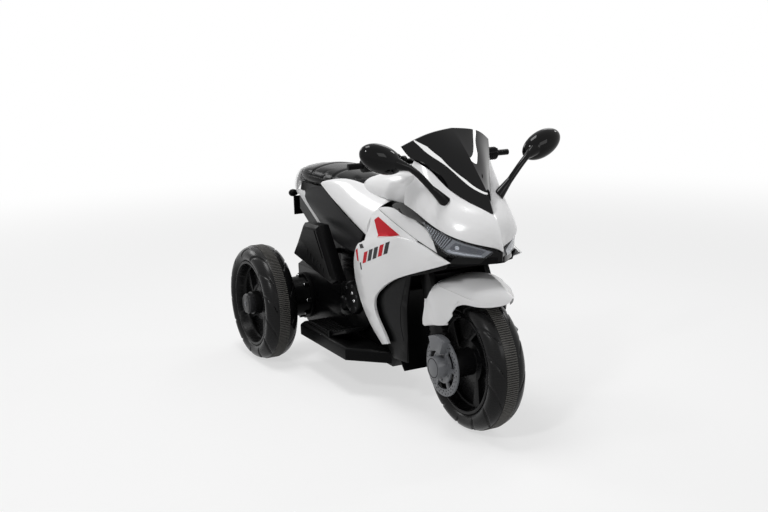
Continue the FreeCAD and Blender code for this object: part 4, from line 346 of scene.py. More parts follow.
def makeFinish(name, settings):
    material = bpy.data.materials.new(name)
    material.use_nodes = True
    tree = material.node_tree
    shader = tree.nodes["Principled BSDF"]
    grain = addNode(tree, "ShaderNodeGroup", node_tree=grainGroup)
    grain.inputs["Grain Scale"].default_value = settings["grain"]
    wear = addNode(tree, "ShaderNodeGroup", node_tree=wearGroup)
    wear.inputs["Rub Amount"].default_value = settings["rubs"]
    wear.inputs["Dust Amount"].default_value = settings["dust"]
    tone = addNode(tree, "ShaderNodeMix", data_type="RGBA")
    shade = 1 - settings["tone"]
    tone.inputs["A"].default_value = tuple(channel * shade for channel in settings["color"]) + (1,)
    tone.inputs["B"].default_value = tuple(settings["color"]) + (1,)
    dusty = addNode(tree, "ShaderNodeMix", data_type="RGBA")
    dusty.inputs["B"].default_value = dustColor
    link(tree, grain.outputs["Tone"], tone.inputs["Factor"])
    link(tree, tone.outputs["Result"], dusty.inputs["A"])
    link(tree, wear.outputs["Dust"], dusty.inputs["Factor"])
    link(tree, dusty.outputs["Result"], shader.inputs["Base Color"])
    rough = addNode(tree, "ShaderNodeMapRange")
    rough.inputs["To Min"].default_value, rough.inputs["To Max"].default_value = settings["roughness"]
    link(tree, wear.outputs["Rubs"], rough.inputs["Value"])
    link(tree, rough.outputs["Result"], shader.inputs["Roughness"])
    bump = addNode(tree, "ShaderNodeBump")
    bump.inputs["Strength"].default_value = settings["bump"]
    bump.inputs["Distance"].default_value = grainDepth
    link(tree, grain.outputs["Height"], bump.inputs["Height"])
    link(tree, bump.outputs["Normal"], shader.inputs["Normal"])
    shader.inputs["Coat Weight"].default_value = settings.get("coat", 0.0)
    shader.inputs["Coat Roughness"].default_value = coatRoughness
    shader.inputs["Specular IOR Level"].default_value = settings.get("specular", 0.5)
    shader.inputs["Metallic"].default_value = settings.get("metallic", 0.0)
    return material


def makeLensFinish(settings):
    # clear moulded plastic with a trace of smoke and faint swirls in its gloss
    material = makeFinish("clearLens", settings)
    shader = material.node_tree.nodes["Principled BSDF"]
    shader.inputs["Transmission Weight"].default_value = 1.0
    shader.inputs["IOR"].default_value = settings["bend"]
    return material


finishes = {name: makeFinish(name, settings) for name, settings in finishSettings.items()}
finishes["clearLens"] = makeLensFinish(lensSettings)
slotFinish = {
    "white_gloss": "whitePanel", "black_satin": "satinBlack", "grey_satin": "satinGrey",
    "black_gloss": "glossBlack", "tyre_black": "tyreBlack", "rim_black": "rimBlack", "trim_grey": "trimGrey",
    "lens_clear": "clearLens", "lamp_red": "lampRed", "seat_vinyl": "seatVinyl", "steel": "brightSteel",
    "grip_rubber": "gripRubber", "battery_grey": "batteryGrey", "button_red": "lampRed",
}
print("finishes made:", len(finishes))


# measures and ways that many pieces share
partSizes = {"wheelbase": 0.66, "halfWidth": 0.1, "height": 0.45, "axle": 0.135, "track": 0.172, "rake": 22}
mergeGap = 2e-5
smoothAngle = 38
rayStart = 0.3
sides = (("right", -1), ("left", 1))
wayX, wayY, wayZ, wayBack = [Vector(way) for way in ((1, 0, 0), (0, 1, 0), (0, 0, 1), (-1, 0, 0))]


def wayOut(side):
    return Vector((0, side, 0))


def bodyPoint(along, across, up):
    # the part's own shares: wheelbase, half width to the right, height over the axles
    return Vector((partSizes["wheelbase"] * along, -partSizes["halfWidth"] * across,
                   partSizes["axle"] + partSizes["height"] * up))


def hubPoint(end, across):
    # a place on the axle line of the front (1) or of the rear (-1)
    return Vector((end * partSizes["wheelbase"] / 2, across, partSizes["axle"]))


# piece helpers

def newPiece(name, mesh, finish=None):
    piece = bpy.data.objects.new(name, mesh)
    scene.collection.objects.link(piece)
    if finish is not None:
        mesh.materials.clear()
        mesh.materials.append(finishes[finish])
    return piece


def turnOutward(mesh):
    form = bmesh.new()
    form.from_mesh(mesh)
    bmesh.ops.recalc_face_normals(form, faces=form.faces)
    form.to_mesh(mesh)
    form.free()


def evenFaces(mesh):
    for face in mesh.polygons:
        face.use_smooth = True
        face.material_index = 0


def meshFrom(name, points, faces):
    mesh = bpy.data.meshes.new(name)
    mesh.from_pydata([tuple(point) for point in points], [], faces)
    turnOutward(mesh)
    evenFaces(mesh)
    return mesh


def applyModifiers(piece):
    evaluated = piece.evaluated_get(bpy.context.evaluated_depsgraph_get())
    mesh = bpy.data.meshes.new_from_object(evaluated)
    piece.modifiers.clear()
    piece.data = mesh


def mergeCorners(mesh, flat=None):
    form = bmesh.new()
    form.from_mesh(mesh)
    bmesh.ops.remove_doubles(form, verts=form.verts, dist=mergeGap)
    if flat is not None:
        bmesh.ops.dissolve_limit(form, angle_limit=math.radians(flat), verts=form.verts, edges=form.edges)
    form.to_mesh(mesh)
    form.free()


def settle(piece, body, node=None, smooth=smoothAngle):
    piece.data.set_sharp_from_angle(angle=math.radians(smooth))
    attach(piece, body)
    if node is not None:
        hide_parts(node)
    return piece


def pieceName(node):
    first, *rest = node.split("_")
    return first + "".join(word.capitalize() for word in rest)


def meshTree(mesh):
    return BVHTree.FromPolygons([vertex.co for vertex in mesh.vertices],
                                [face.vertices for face in mesh.polygons])


def bandOutline(inner, outer, low, high):
    return [(inner, low), (outer, low), (outer, high), (inner, high), (inner, low)]


def wireOutline(radius, thick, squash=1.0, steps=9):
    return [(radius + thick * math.cos(angle), thick * math.sin(angle) * squash)
            for angle in np.linspace(0, 2 * math.pi, steps)]


def latheMesh(name, outline, segments):
    # an outline of (radius, height) spun about Z; a zero radius closes the end
    points = []
    faces = []
    rings = []
    for radius, height in outline:
        start = len(points)
        if radius == 0:
            points.append((0, 0, height))
            rings.append([start] * segments)
            continue
        for step in range(segments):
            angle = 2 * math.pi * step / segments
            points.append((radius * math.cos(angle), radius * math.sin(angle), height))
        rings.append(list(range(start, start + segments)))
    for lower, upper in zip(rings, rings[1:]):
        for step in range(segments):
            after = (step + 1) % segments
            faces.append(list(dict.fromkeys([lower[step], lower[after], upper[after], upper[step]])))
    return meshFrom(name, points, faces)


def blockMesh(name, length, width, height, taper, shoulder=0.6):
    # a low bar along X standing on Z = 0, its top drawn in by the taper above the shoulder
    points = []
    for rise, inset in ((0, 0), (height * shoulder, 0), (height, taper)):
        for sx, sy in ((-1, -1), (1, -1), (1, 1), (-1, 1)):
            points.append((sx * (length / 2 - inset), sy * (width / 2 - inset), rise))
    faces = [(3, 2, 1, 0), (8, 9, 10, 11)]
    for level in (0, 4):
        for step in range(4):
            after = (step + 1) % 4
            faces.append((level + step, level + after, level + 4 + after, level + 4 + step))
    return meshFrom(name, points, faces)


# growing trees: a ring about the Y axis, and pieces set on marked points

def makeRingTree():
    tree, given, result = newGroup("ringTree", "GeometryNodeTree", [
        ("Geometry", "NodeSocketGeometry", None),
        ("Count", "NodeSocketInt", 12),
        ("Radius", "NodeSocketFloat", 0.1),
        ("Phase", "NodeSocketFloat", 0.0),
        ("Centre", "NodeSocketVector", (0, 0, 0)),
        ("Piece", "NodeSocketObject", None),
        ("Finish", "NodeSocketMaterial", None),
    ], [("Geometry", "NodeSocketGeometry")])
    index = addNode(tree, "GeometryNodeInputIndex")
    share = addNode(tree, "ShaderNodeMath", operation="DIVIDE")
    turn = addNode(tree, "ShaderNodeMath", operation="MULTIPLY_ADD")
    turn.inputs[1].default_value = 2 * math.pi
    link(tree, index.outputs[0], share.inputs[0])
    link(tree, given.outputs["Count"], share.inputs[1])
    link(tree, share.outputs[0], turn.inputs[0])
    link(tree, given.outputs["Phase"], turn.inputs[2])
    outward = addNode(tree, "ShaderNodeCombineXYZ")
    for operation, axis in (("SINE", "X"), ("COSINE", "Z")):
        wave = addNode(tree, "ShaderNodeMath", operation=operation)
        link(tree, turn.outputs[0], wave.inputs[0])
        link(tree, wave.outputs[0], outward.inputs[axis])
    reach = addNode(tree, "ShaderNodeVectorMath", operation="SCALE")
    link(tree, outward.outputs[0], reach.inputs[0])
    link(tree, given.outputs["Radius"], reach.inputs["Scale"])
    place = addNode(tree, "ShaderNodeVectorMath", operation="ADD")
    link(tree, reach.outputs[0], place.inputs[0])
    link(tree, given.outputs["Centre"], place.inputs[1])
    points = addNode(tree, "GeometryNodePoints")
    link(tree, given.outputs["Count"], points.inputs["Count"])
    link(tree, place.outputs[0], points.inputs["Position"])
    facing = addNode(tree, "ShaderNodeCombineXYZ")
    link(tree, turn.outputs[0], facing.inputs["Y"])
    closeTree(tree, given, result, points.outputs[0], facing.outputs[0])
    return tree


def makeScatterTree():
    # every vertex carries "facing" for the piece's Z and "along" for its X
    tree, given, result = newGroup("scatterTree", "GeometryNodeTree", [
        ("Geometry", "NodeSocketGeometry", None),
        ("Piece", "NodeSocketObject", None),
        ("Finish", "NodeSocketMaterial", None),
    ], [("Geometry", "NodeSocketGeometry")])
    turned = None
    for name, axis, pivot in (("facing", "Z", "AUTO"), ("along", "X", "Z")):
        read = addNode(tree, "GeometryNodeInputNamedAttribute", data_type="FLOAT_VECTOR")
        read.inputs["Name"].default_value = name
        align = addNode(tree, "FunctionNodeAlignRotationToVector", axis=axis, pivot_axis=pivot)
        link(tree, read.outputs["Attribute"], align.inputs["Vector"])
        if turned is not None:
            link(tree, turned, align.inputs["Rotation"])
        turned = align.outputs["Rotation"]
    closeTree(tree, given, result, given.outputs["Geometry"], turned)
    return tree


def closeTree(tree, given, result, points, rotation):
    source = addNode(tree, "GeometryNodeObjectInfo", transform_space="ORIGINAL")
    source.inputs["As Instance"].default_value = True
    spread = addNode(tree, "GeometryNodeInstanceOnPoints")
    solid = addNode(tree, "GeometryNodeRealizeInstances")
    painted = addNode(tree, "GeometryNodeSetMaterial")
    link(tree, given.outputs["Piece"], source.inputs["Object"])
    link(tree, points, spread.inputs["Points"])
    link(tree, source.outputs["Geometry"], spread.inputs["Instance"])
    link(tree, rotation, spread.inputs["Rotation"])
    link(tree, spread.outputs[0], solid.inputs[0])
    link(tree, solid.outputs[0], painted.inputs["Geometry"])
    link(tree, given.outputs["Finish"], painted.inputs["Material"])
    link(tree, painted.outputs[0], result.inputs["Geometry"])


ringTree = makeRingTree()
scatterTree = makeScatterTree()


def growPiece(name, tree, donorMesh, finish, base=None, **inputs):
    donor = newPiece(name + "Donor", donorMesh)
    piece = newPiece(name, base or bpy.data.meshes.new(name))
    grow = piece.modifiers.new("grow", "NODES")
    grow.node_group = tree
    values = dict(inputs, Piece=donor, Finish=finishes[finish])
    for socket in tree.interface.items_tree:
        if socket.in_out == "INPUT" and socket.name in values:
            grow[socket.identifier] = values[socket.name]
    applyModifiers(piece)
    bpy.data.objects.remove(donor)
    return piece


def spotMesh(name, spots):
    # spots are (place, facing, along)
    mesh = bpy.data.meshes.new(name)
    mesh.from_pydata([tuple(spot[0]) for spot in spots], [], [])
    for index, label in ((1, "facing"), (2, "along")):
        held = mesh.attributes.new(label, "FLOAT_VECTOR", "POINT")
        held.data.foreach_set("vector", [value for spot in spots for value in spot[index]])
    return mesh


def scatter(name, donorMesh, finish, spots, body):
    piece = growPiece(name, scatterTree, donorMesh, finish, base=spotMesh(name + "Spots", spots))
    return settle(piece, body)


print("growing trees ready")


# tyres: moulded grooves on the shoulders and a band of cross ribs round the middle
tyreSettings = {
    "bead": (0.03, 0.1), "side": (0.038, 0.11085), "shoulder": (0.0342, 0.1231),
    "crown": (0.02508, 0.13045), "foot": (0.013, 0.1334), "bandRadius": 0.1336, "smooth": 50,
    "core": (0, 0.115), "bandStep": 0.0004, "segments": 420, "arcSteps": 15,
    "grooves": 13, "grooveDepth": 0.0021, "grooveWidth": 0.0052, "grooveSweep": 0.36,
    "grooveSpan": (0.2, 0.93), "grooveEnds": 0.6, "grooveBend": 1.6, "grooveFloor": 0.45,
    "ribs": 190, "ribLength": 0.0252, "ribWidth": 0.0027, "ribTop": 0.13495, "ribSink": 0.0004,
    "ribTaper": 0.0005,
    "wall": (0.0262, 0.0905, 0.0011), "wallSegments": 72,
}
wheels = {
    "front_tyre": hubPoint(1, 0),
    "rear_right_tyre": hubPoint(-1, -partSizes["track"]),
    "rear_left_tyre": hubPoint(-1, partSizes["track"]),
}


def arcThrough(start, middle, end, steps):
    (ax, ay), (bx, by), (cx, cy) = start, middle, end
    scale = 2 * (ax * (by - cy) + bx * (cy - ay) + cx * (ay - by))
    aa, bb, cc = ax * ax + ay * ay, bx * bx + by * by, cx * cx + cy * cy
    ux = (aa * (by - cy) + bb * (cy - ay) + cc * (ay - by)) / scale
    uy = (aa * (cx - bx) + bb * (ax - cx) + cc * (bx - ax)) / scale
    radius = math.hypot(ax - ux, ay - uy)
    first, last = math.atan2(ay - uy, ax - ux), math.atan2(cy - uy, cx - ux)
    return [(ux + radius * math.cos(angle), uy + radius * math.sin(angle))
            for angle in np.linspace(first, last, steps)]


def smoothStep(low, high, value):
    share = np.clip((value - low) / (high - low), 0, 1)
    return share * share * (3 - 2 * share)


def tyreProfile(settings):
    steps = settings["arcSteps"]
    half = arcThrough(settings["bead"], settings["side"], settings["shoulder"], steps)
    half += arcThrough(settings["shoulder"], settings["crown"], settings["foot"], steps)[1:]
    half += [(settings["foot"][0] - settings["bandStep"], settings["bandRadius"])]
    return np.array(half)


def makeTyre(node, centre, settings):
    half = tyreProfile(settings)
    profile = np.vstack([half, half[::-1] * (-1, 1)])
    count = len(half)
    reach = np.concatenate([np.linspace(0, 1, count), np.linspace(1, 0, count)])
    lean = np.gradient(profile, axis=0)
    normal = np.stack([lean[:, 1], -lean[:, 0]], axis=1)
    normal /= np.linalg.norm(normal, axis=1)[:, None]
    normal *= np.sign(np.sum(normal * (profile - settings["core"]), axis=1))[:, None]
    turns = np.linspace(0, 2 * math.pi, settings["segments"], endpoint=False)
    low, high = settings["grooveSpan"]
    inside = np.clip((reach - low) / (high - low), 0, 1)
    width = settings["grooveWidth"] * np.sin(math.pi * inside) ** settings["grooveEnds"]
    side = np.sign(profile[:, 0])
    pitch = 2 * math.pi / settings["grooves"]
    bend = settings["grooveSweep"] * inside ** settings["grooveBend"] + np.where(side < 0, pitch / 2, 0)
    away = (turns[:, None] - bend[None, :] + pitch / 2) % pitch - pitch / 2
    distance = np.abs(away) * profile[None, :, 1]
    cut = 1 - smoothStep(settings["grooveFloor"], 1.0, distance / np.maximum(width, 1e-6)[None, :])
    cut *= settings["grooveDepth"] * (width > 1e-4)[None, :]
    across = profile[None, :, 0] - cut * normal[None, :, 0]
    radius = profile[None, :, 1] - cut * normal[None, :, 1]
    points = np.stack([radius * np.sin(turns)[:, None], across, radius * np.cos(turns)[:, None]], axis=2)
    points = points.reshape(-1, 3) + np.array(centre)
    ring = 2 * count
    faces = []
    for step in range(settings["segments"]):
        after = (step + 1) % settings["segments"]
        for place in range(ring):
            beside = (place + 1) % ring
            faces.append((step * ring + place, step * ring + beside,
                          after * ring + beside, after * ring + place))
    name, body = pieceName(node), bodyOf[node]
    tyre = newPiece(name, meshFrom(name, points, faces), "tyreBlack")
    settle(tyre, body, node, smooth=settings["smooth"])
    rise = settings["ribTop"] - settings["bandRadius"] + settings["ribSink"]
    rib = blockMesh("treadRib", settings["ribWidth"], settings["ribLength"], rise, settings["ribTaper"])
    ribs = growPiece(name + "Ribs", ringTree, rib, "treadRib", Count=settings["ribs"],
                     Radius=settings["bandRadius"] - settings["ribSink"], Centre=tuple(centre))
    settle(ribs, body)
    # thin back wall between the spokes
    inner, outer, half = settings["wall"]
    wall = latheMesh(name + "Wall", bandOutline(inner, outer, -half, half), settings["wallSegments"])
    wall.transform(Matrix.Translation(centre) @ Matrix.Rotation(math.pi / 2, 4, "X"))
    settle(newPiece(name + "Wall", wall, "rimBlack"), body)


for node, centre in wheels.items():
    makeTyre(node, centre, tyreSettings)
print("tyres made")


# windscreen: the part's own rows of shares, drawn as one even sheet with a crease down its middle
screenSettings = {
    "middle": [(0.609, 0.0, 0.66), (0.591, 0.0, 0.716), (0.533, 0.0, 0.811), (0.486, 0.0, 0.878),
               (0.432, 0.0, 0.944), (0.397, 0.0, 0.984)],
    "half": [(0.603, 0.04, 0.658), (0.568, 0.13, 0.712), (0.512, 0.26, 0.796), (0.467, 0.37, 0.864),
             (0.423, 0.46, 0.929), (0.397, 0.52, 0.967)],
    "edge": [(0.597, 0.07, 0.654), (0.54, 0.26, 0.702), (0.481, 0.49, 0.759), (0.433, 0.67, 0.827),
             (0.388, 0.87, 0.87), (0.361, 0.97, 0.916)],
    "rows": 90, "columns": 36, "wall": 0.0038, "smooth": 12,
}


def splineThrough(points, count):
    # natural cubic curve through the points, read at even steps of its chord
    points = np.array(points, float)
    chord = np.linalg.norm(np.diff(points, axis=0), axis=1)
    spots = np.concatenate([[0], np.cumsum(chord)])
    size = len(points)
    matrix = np.eye(size)
    target = np.zeros_like(points)
    for index in range(1, size - 1):
        before, after = chord[index - 1], chord[index]
        matrix[index, index - 1:index + 2] = before, 2 * (before + after), after
        target[index] = 6 * ((points[index + 1] - points[index]) / after
                             - (points[index] - points[index - 1]) / before)
    bend = np.linalg.solve(matrix, target)
    read = np.linspace(0, spots[-1], count)
    piece = np.clip(np.searchsorted(spots, read) - 1, 0, size - 2)
    span = chord[piece][:, None]
    ahead = (spots[piece + 1] - read)[:, None] / span
    behind = 1 - ahead
    return (ahead * points[piece] + behind * points[piece + 1]
            + ((ahead ** 3 - ahead) * bend[piece] + (behind ** 3 - behind) * bend[piece + 1]) * span ** 2 / 6)


def sheetMesh(name, grid, shift):
    # a grid of points and the same grid moved by the wall, closed round its rim
    rows, columns = grid.shape[:2]
    points = np.concatenate([grid.reshape(-1, 3), (grid + np.array(shift)).reshape(-1, 3)])
    layer = rows * columns
    faces = []
    for row in range(rows - 1):
        for column in range(columns - 1):
            first = row * columns + column
            quad = (first, first + 1, first + columns + 1, first + columns)
            faces.append(quad)
            faces.append(tuple(layer + corner for corner in reversed(quad)))
    rim = list(range(columns)) + [row * columns + columns - 1 for row in range(1, rows)]
    rim += [(rows - 1) * columns + column for column in range(columns - 2, -1, -1)]
    rim += [row * columns for row in range(rows - 2, 0, -1)]
    for start, end in zip(rim, rim[1:] + rim[:1]):
        faces.append((end, start, layer + start, layer + end))
    return meshFrom(name, points, faces)


def makeWindscreen(settings):
    trios = zip(settings["middle"], settings["half"], settings["edge"])
    across = [splineThrough([bodyPoint(*share) for share in trio], settings["columns"]) for trio in trios]
    right = np.stack([splineThrough([row[column] for row in across], settings["rows"])
                      for column in range(settings["columns"])], axis=1)
    left = right[:, :0:-1] * (1, -1, 1)
    sheet = sheetMesh("windscreen", np.concatenate([left, right], axis=1), (-settings["wall"], 0, 0))
    screen = newPiece("windscreen", sheet, "screenBlack")
    settle(screen, "chassis", "windscreen", smooth=settings["smooth"])


makeWindscreen(screenSettings)
print("windscreen made")


# every other node: a copy with merged corners and small rounded edges is what shows
dressSettings = {"flat": 0.6, "bevel": 0.0007, "bevelSteps": 2}
madeElsewhere = {*wheels, "windscreen", "seat", "right_headlamp_lens", "left_headlamp_lens",
                 "rear_indicators"}
nodeFinish = {"rear_right_hub_cap": "hubGrey", "rear_left_hub_cap": "hubGrey"}


def dressNode(node, finish):
    mesh = cadNodes[node].data.copy()
    piece = newPiece(pieceName(node), mesh, finish)
    mergeCorners(mesh, dressSettings["flat"])
    evenFaces(mesh)
    rounding = piece.modifiers.new("rounding", "BEVEL")
    rounding.width = dressSettings["bevel"]
    rounding.segments = dressSettings["bevelSteps"]
    rounding.limit_method = "ANGLE"
    rounding.angle_limit = math.radians(smoothAngle)
    applyModifiers(piece)
    return settle(piece, bodyOf[node], node)


dressed = {}
for node in sorted(set(cadNodes) - madeElsewhere):
    dressed[node] = dressNode(node, nodeFinish.get(node, slotFinish[slotOf[node]]))
print("nodes dressed:", len(dressed))


# thin pieces laid on a panel: an outline of the side view, dropped onto the surface along Y

def surfaceOf(node):
    return meshTree(cadNodes[node].data)


def castFrom(side, surface, x, z):
    # where a ray from that side meets the surface, and the normal there
    return surface.ray_cast(Vector((x, side * rayStart, z)), wayOut(-side))[:2]


def layOn(name, node, outline, side, lift, wall, finish, cuts=3, body="chassis"):
    # outline is (along, up) shares; side is -1 for the right panel, 1 for the left
    surface = surfaceOf(node)
    form = bmesh.new()
    form.faces.new([form.verts.new(bodyPoint(along, 0, up)) for along, up in outline])
    bmesh.ops.triangulate(form, faces=form.faces)
    bmesh.ops.subdivide_edges(form, edges=form.edges, cuts=cuts, use_grid_fill=True)
    missed = []
    for vertex in form.verts:
        hit, _ = castFrom(side, surface, *vertex.co.xz)
        if hit is None:
            missed.append(vertex)
            continue
        vertex.co = hit + wayY * (side * lift)
    bmesh.ops.delete(form, geom=missed, context="VERTS")
    moved = bmesh.ops.extrude_face_region(form, geom=form.faces[:])["geom"]
    for vertex in [item for item in moved if isinstance(item, bmesh.types.BMVert)]:
        vertex.co.y += side * wall
    bmesh.ops.recalc_face_normals(form, faces=form.faces)
    mesh = bpy.data.meshes.new(name)
    form.to_mesh(mesh)
    form.free()
    evenFaces(mesh)
    return settle(newPiece(name, mesh, finish), body)


# stickers: a red flash on the upper panel, plain slanted bars and corner marks on the fairing
stickerSettings = {
    "lift": 0.00012, "wall": 0.00014,
    "flash": [(0.164, 0.562), (0.188, 0.581), (0.322, 0.527), (0.2, 0.491)],
    "barStart": (0.106, 0.348), "barStep": (0.034, 0.019), "barSize": (0.024, 0.056), "barLean": 0.012,
    "barSlope": 0.5, "bars": ("decalRed", "decalBlack", "decalBlack", "decalRed", "decalBlack"),
    "marks": [
        ("decalBlack", [(0.082, 0.432), (0.104, 0.44), (0.116, 0.424), (0.092, 0.414)]),
        ("decalRed", [(0.056, 0.398), (0.07, 0.41), (0.078, 0.35), (0.068, 0.352)]),
        ("decalBlack", [(0.086, 0.345), (0.094, 0.352), (0.1, 0.318), (0.092, 0.316)]),
    ],
}


def barOutline(settings, index):
    along, up = [start + step * index for start, step in zip(settings["barStart"], settings["barStep"])]
    wide, tall = settings["barSize"]
    lean, slope = settings["barLean"], wide * settings["barSlope"]
    return [(along, up), (along + wide, up + slope), (along + wide + lean, up + tall + slope),
            (along + lean, up + tall)]


def makeStickers(settings):
    for word, side in sides:
        stickers = [("RedFlash", "decalRed", settings["flash"], 7)]
        for index, finish in enumerate(settings["bars"]):
            stickers.append((f"Bar{index + 1}", finish, barOutline(settings, index), 3))
        for index, (finish, outline) in enumerate(settings["marks"]):
            stickers.append((f"Mark{index + 1}", finish, outline, 3))
        for name, finish, outline, cuts in stickers:
            layOn(word + name, word + "_side_fairing", outline, side, settings["lift"], settings["wall"],
                  finish, cuts)


makeStickers(stickerSettings)

# belly: a lighter grey crescent laid on the black panel, a painted sheen
bellySettings = {
    "lift": 0.0, "wall": 0.0006,
    "crescent": [(0.218, 0.192), (0.243, 0.246), (0.292, 0.3), (0.345, 0.34), (0.322, 0.271), (0.3, 0.186),
                 (0.292, 0.104), (0.296, 0.04), (0.235, 0.084), (0.217, 0.135)],
}
# the crescent's satin grey paints the panel's sheen into its colour
for word, side in sides:
    layOn(word + "BellyCrescent", word + "_belly_panel", bellySettings["crescent"], side,
          bellySettings["lift"], bellySettings["wall"], "satinGrey", cuts=5)
print("stickers and crescents laid")


# front fender: the leg cover stands a step proud of the leaf, with an edge that runs out to the tip
fenderSettings = {
    "lift": 0.0, "wall": 0.0018,
    "tipSpan": (0.395, 0.466), "tipPinch": 0.72, "tipHeight": 0.29, "tipLift": 0.27,
    "shoulder": 0.01, "shoulderHeight": 0.276, "shoulderHalf": 0.022, "shoulderInner": (0.02, 0.065),
    "shoulderFront": (0.29, 0.36),
    # back, front, foot and top of the notch
    "notch": (0.3385, 0.385, 0.19, 0.2585), "notchCorner": 0.009, "notchSteps": 8, "notchHalf": 0.1,
    "plate": [(0.417, 0.158), (0.5105, 0.184), (0.5105, 0.252), (0.516, 0.27), (0.53, 0.28), (0.55, 0.281),
              (0.585, 0.29), (0.652, 0.298), (0.58, 0.316), (0.503, 0.337), (0.43, 0.348), (0.412, 0.3)],
}


def shapeFender(mesh, settings):
    # the leaf narrows to a point in plan, its low edges rise to the tip, and the covers get full shoulders
    for vertex in mesh.vertices:
        swell = math.exp(-((vertex.co.z - settings["shoulderHeight"]) / settings["shoulderHalf"]) ** 2)
        swell *= smoothStep(*settings["shoulderInner"], abs(vertex.co.y))
        swell *= 1 - smoothStep(*settings["shoulderFront"], vertex.co.x)
        vertex.co.y += math.copysign(settings["shoulder"] * swell, vertex.co.y)
        draw = smoothStep(*settings["tipSpan"], vertex.co.x)
        vertex.co.y *= 1 - settings["tipPinch"] * draw
        vertex.co.z += max(0, settings["tipHeight"] - vertex.co.z) * settings["tipLift"] * draw


def notchCovers(piece, settings):
    # the covers end short of the arch, which starts with a small round
    back, front, low, top = settings["notch"]
    corner, steps, half = settings["notchCorner"], settings["notchSteps"], settings["notchHalf"]
    outline = [(back, low), (front, low), (front, top)]
    for step in range(steps + 1):
        angle = math.pi / 2 * (1 + step / steps)
        outline.append((back + corner * (1 + math.cos(angle)), top - corner * (1 - math.sin(angle))))
    count = len(outline)
    points = [(x, y, z) for y in (-half, half) for x, z in outline]
    faces = [tuple(range(count)), tuple(range(count, 2 * count))]
    faces += [(step, (step + 1) % count, count + (step + 1) % count, count + step) for step in range(count)]
    cutter = newPiece("coverNotch", meshFrom("coverNotch", points, faces))
    cut = piece.modifiers.new("notch", "BOOLEAN")
    cut.operation = "DIFFERENCE"
    cut.solver = "EXACT"
    cut.object = cutter
    applyModifiers(piece)
    bpy.data.objects.remove(cutter)
    piece.data.set_sharp_from_angle(angle=math.radians(smoothAngle))


def makeFenderPlates(settings):
    notchCovers(dressed["front_fender"], settings)
    shapeFender(dressed["front_fender"].data, settings)
    for word, side in sides:
        plate = layOn(word + "FenderPlate", "front_fender", settings["plate"], side, settings["lift"],
                      settings["wall"], "whitePanel", cuts=5, body="fork")
        shapeFender(plate.data, settings)


makeFenderPlates(fenderSettings)
print("fender plates laid")


# headlamps: clear shell over a ribbed reflector, a projector and a light bar
lampSettings = {
    "top": [(0.455, 0.615), (0.489, 0.603), (0.523, 0.586), (0.553, 0.571), (0.583, 0.554), (0.612, 0.535),
            (0.641, 0.512)],
    "low": [(0.453, 0.612), (0.478, 0.576), (0.505, 0.54), (0.523, 0.516), (0.541, 0.495), (0.583, 0.488),
            (0.624, 0.484)],
    "shellWall": 0.0008, "shellLift": 0.0021,
    # patches as (from, to) along the lamp, then (from, to) across it, lift, wall and finish
    "patches": [
        ("LampBack", (0.03, 0.98), (0.04, 0.96), 0.0001, 0.0003, "lampDark"),
        ("LampFrame", (0.56, 0.97), (0.1, 0.92), 0.0004, 0.0006, "lampGrey"),
        ("LampWindow", (0.62, 0.93), (0.38, 0.82), 0.001, 0.0003, "lampPane"),
        ("LightBar", (0.63, 0.95), (0.18, 0.3), 0.001, 0.0006, "lampChrome"),
    ],
    "ribs": 11, "ribSpan": (0.12, 0.53), "ribAcross": (0.1, 0.9), "ribStep": 0.003, "ribLift": 0.0005,
    "rib": (0.0032, 0.002, 0.0012, 0.0003),
    "projector": (0.69, 0.56), "projectorLift": 0.0011, "projectorSegments": 24,
    "projectorRing": [(0.0042, 0), (0.0042, 0.0007), (0.0032, 0.0009), (0.0028, 0.0003), (0, 0.0005)],
}


def lampSpot(settings, along, across):
    # a place inside the lamp's outline, from its rear end and its low edge
    ends = []
    for chain in (settings["low"], settings["top"]):
        step = along * (len(chain) - 1)
        index = min(int(step), len(chain) - 2)
        part = step - index
        ends.append([a + (b - a) * part for a, b in zip(chain[index], chain[index + 1])])
    return tuple(low + (top - low) * across for low, top in zip(*ends))


def lampPatch(settings, along, across, steps=9):
    walk = np.linspace(*along, steps)
    edge = [lampSpot(settings, share, across[0]) for share in walk]
    return edge + [lampSpot(settings, share, across[1]) for share in walk[::-1]]


def bezelSpot(settings, surface, side, along, across):
    # the place on the bezel behind a spot of the lamp, and the outward way there
    spot = lampSpot(settings, along, across)
    place, normal = castFrom(side, surface, *bodyPoint(spot[0], 0, spot[1]).xz)
    return place, normal if normal.y * side > 0 else -normal


def lampRibSpots(settings, surface, side):
    spots = []
    low, high = settings["ribAcross"]
    for along in np.linspace(*settings["ribSpan"], settings["ribs"]):
        foot, head = [bezelSpot(settings, surface, side, along, end)[0] for end in (low, high)]
        count = max(1, int((head - foot).length / settings["ribStep"]))
        for index in range(count):
            share = low + (high - low) * (index + 0.5) / count
            place, outward = bezelSpot(settings, surface, side, along, share)
            spots.append((place + wayY * (side * settings["ribLift"]), outward, (head - foot).normalized()))
    return spots


def makeHeadlamps(settings):
    surface = surfaceOf("lamp_bezel")
    for word, side in sides:
        for name, along, across, lift, wall, finish in settings["patches"]:
            layOn(word + name, "lamp_bezel", lampPatch(settings, along, across), side, lift, wall, finish)
        scatter(word + "LampRibs", blockMesh("lampRib", *settings["rib"]), "lampChrome",
                lampRibSpots(settings, surface, side), "chassis")
        place, outward = bezelSpot(settings, surface, side, *settings["projector"])
        ring = latheMesh("projectorRing", settings["projectorRing"], settings["projectorSegments"])
        scatter(word + "Projector", ring, "lampChrome",
                [(place + outward * settings["projectorLift"], outward, wayZ)], "chassis")
        shell = layOn(word + "HeadlampLens", "lamp_bezel", settings["low"] + settings["top"][::-1], side,
                      settings["shellLift"], settings["shellWall"], "clearLens", cuts=5)
        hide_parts(word + "_headlamp_lens")


makeHeadlamps(lampSettings)
print("headlamps made")


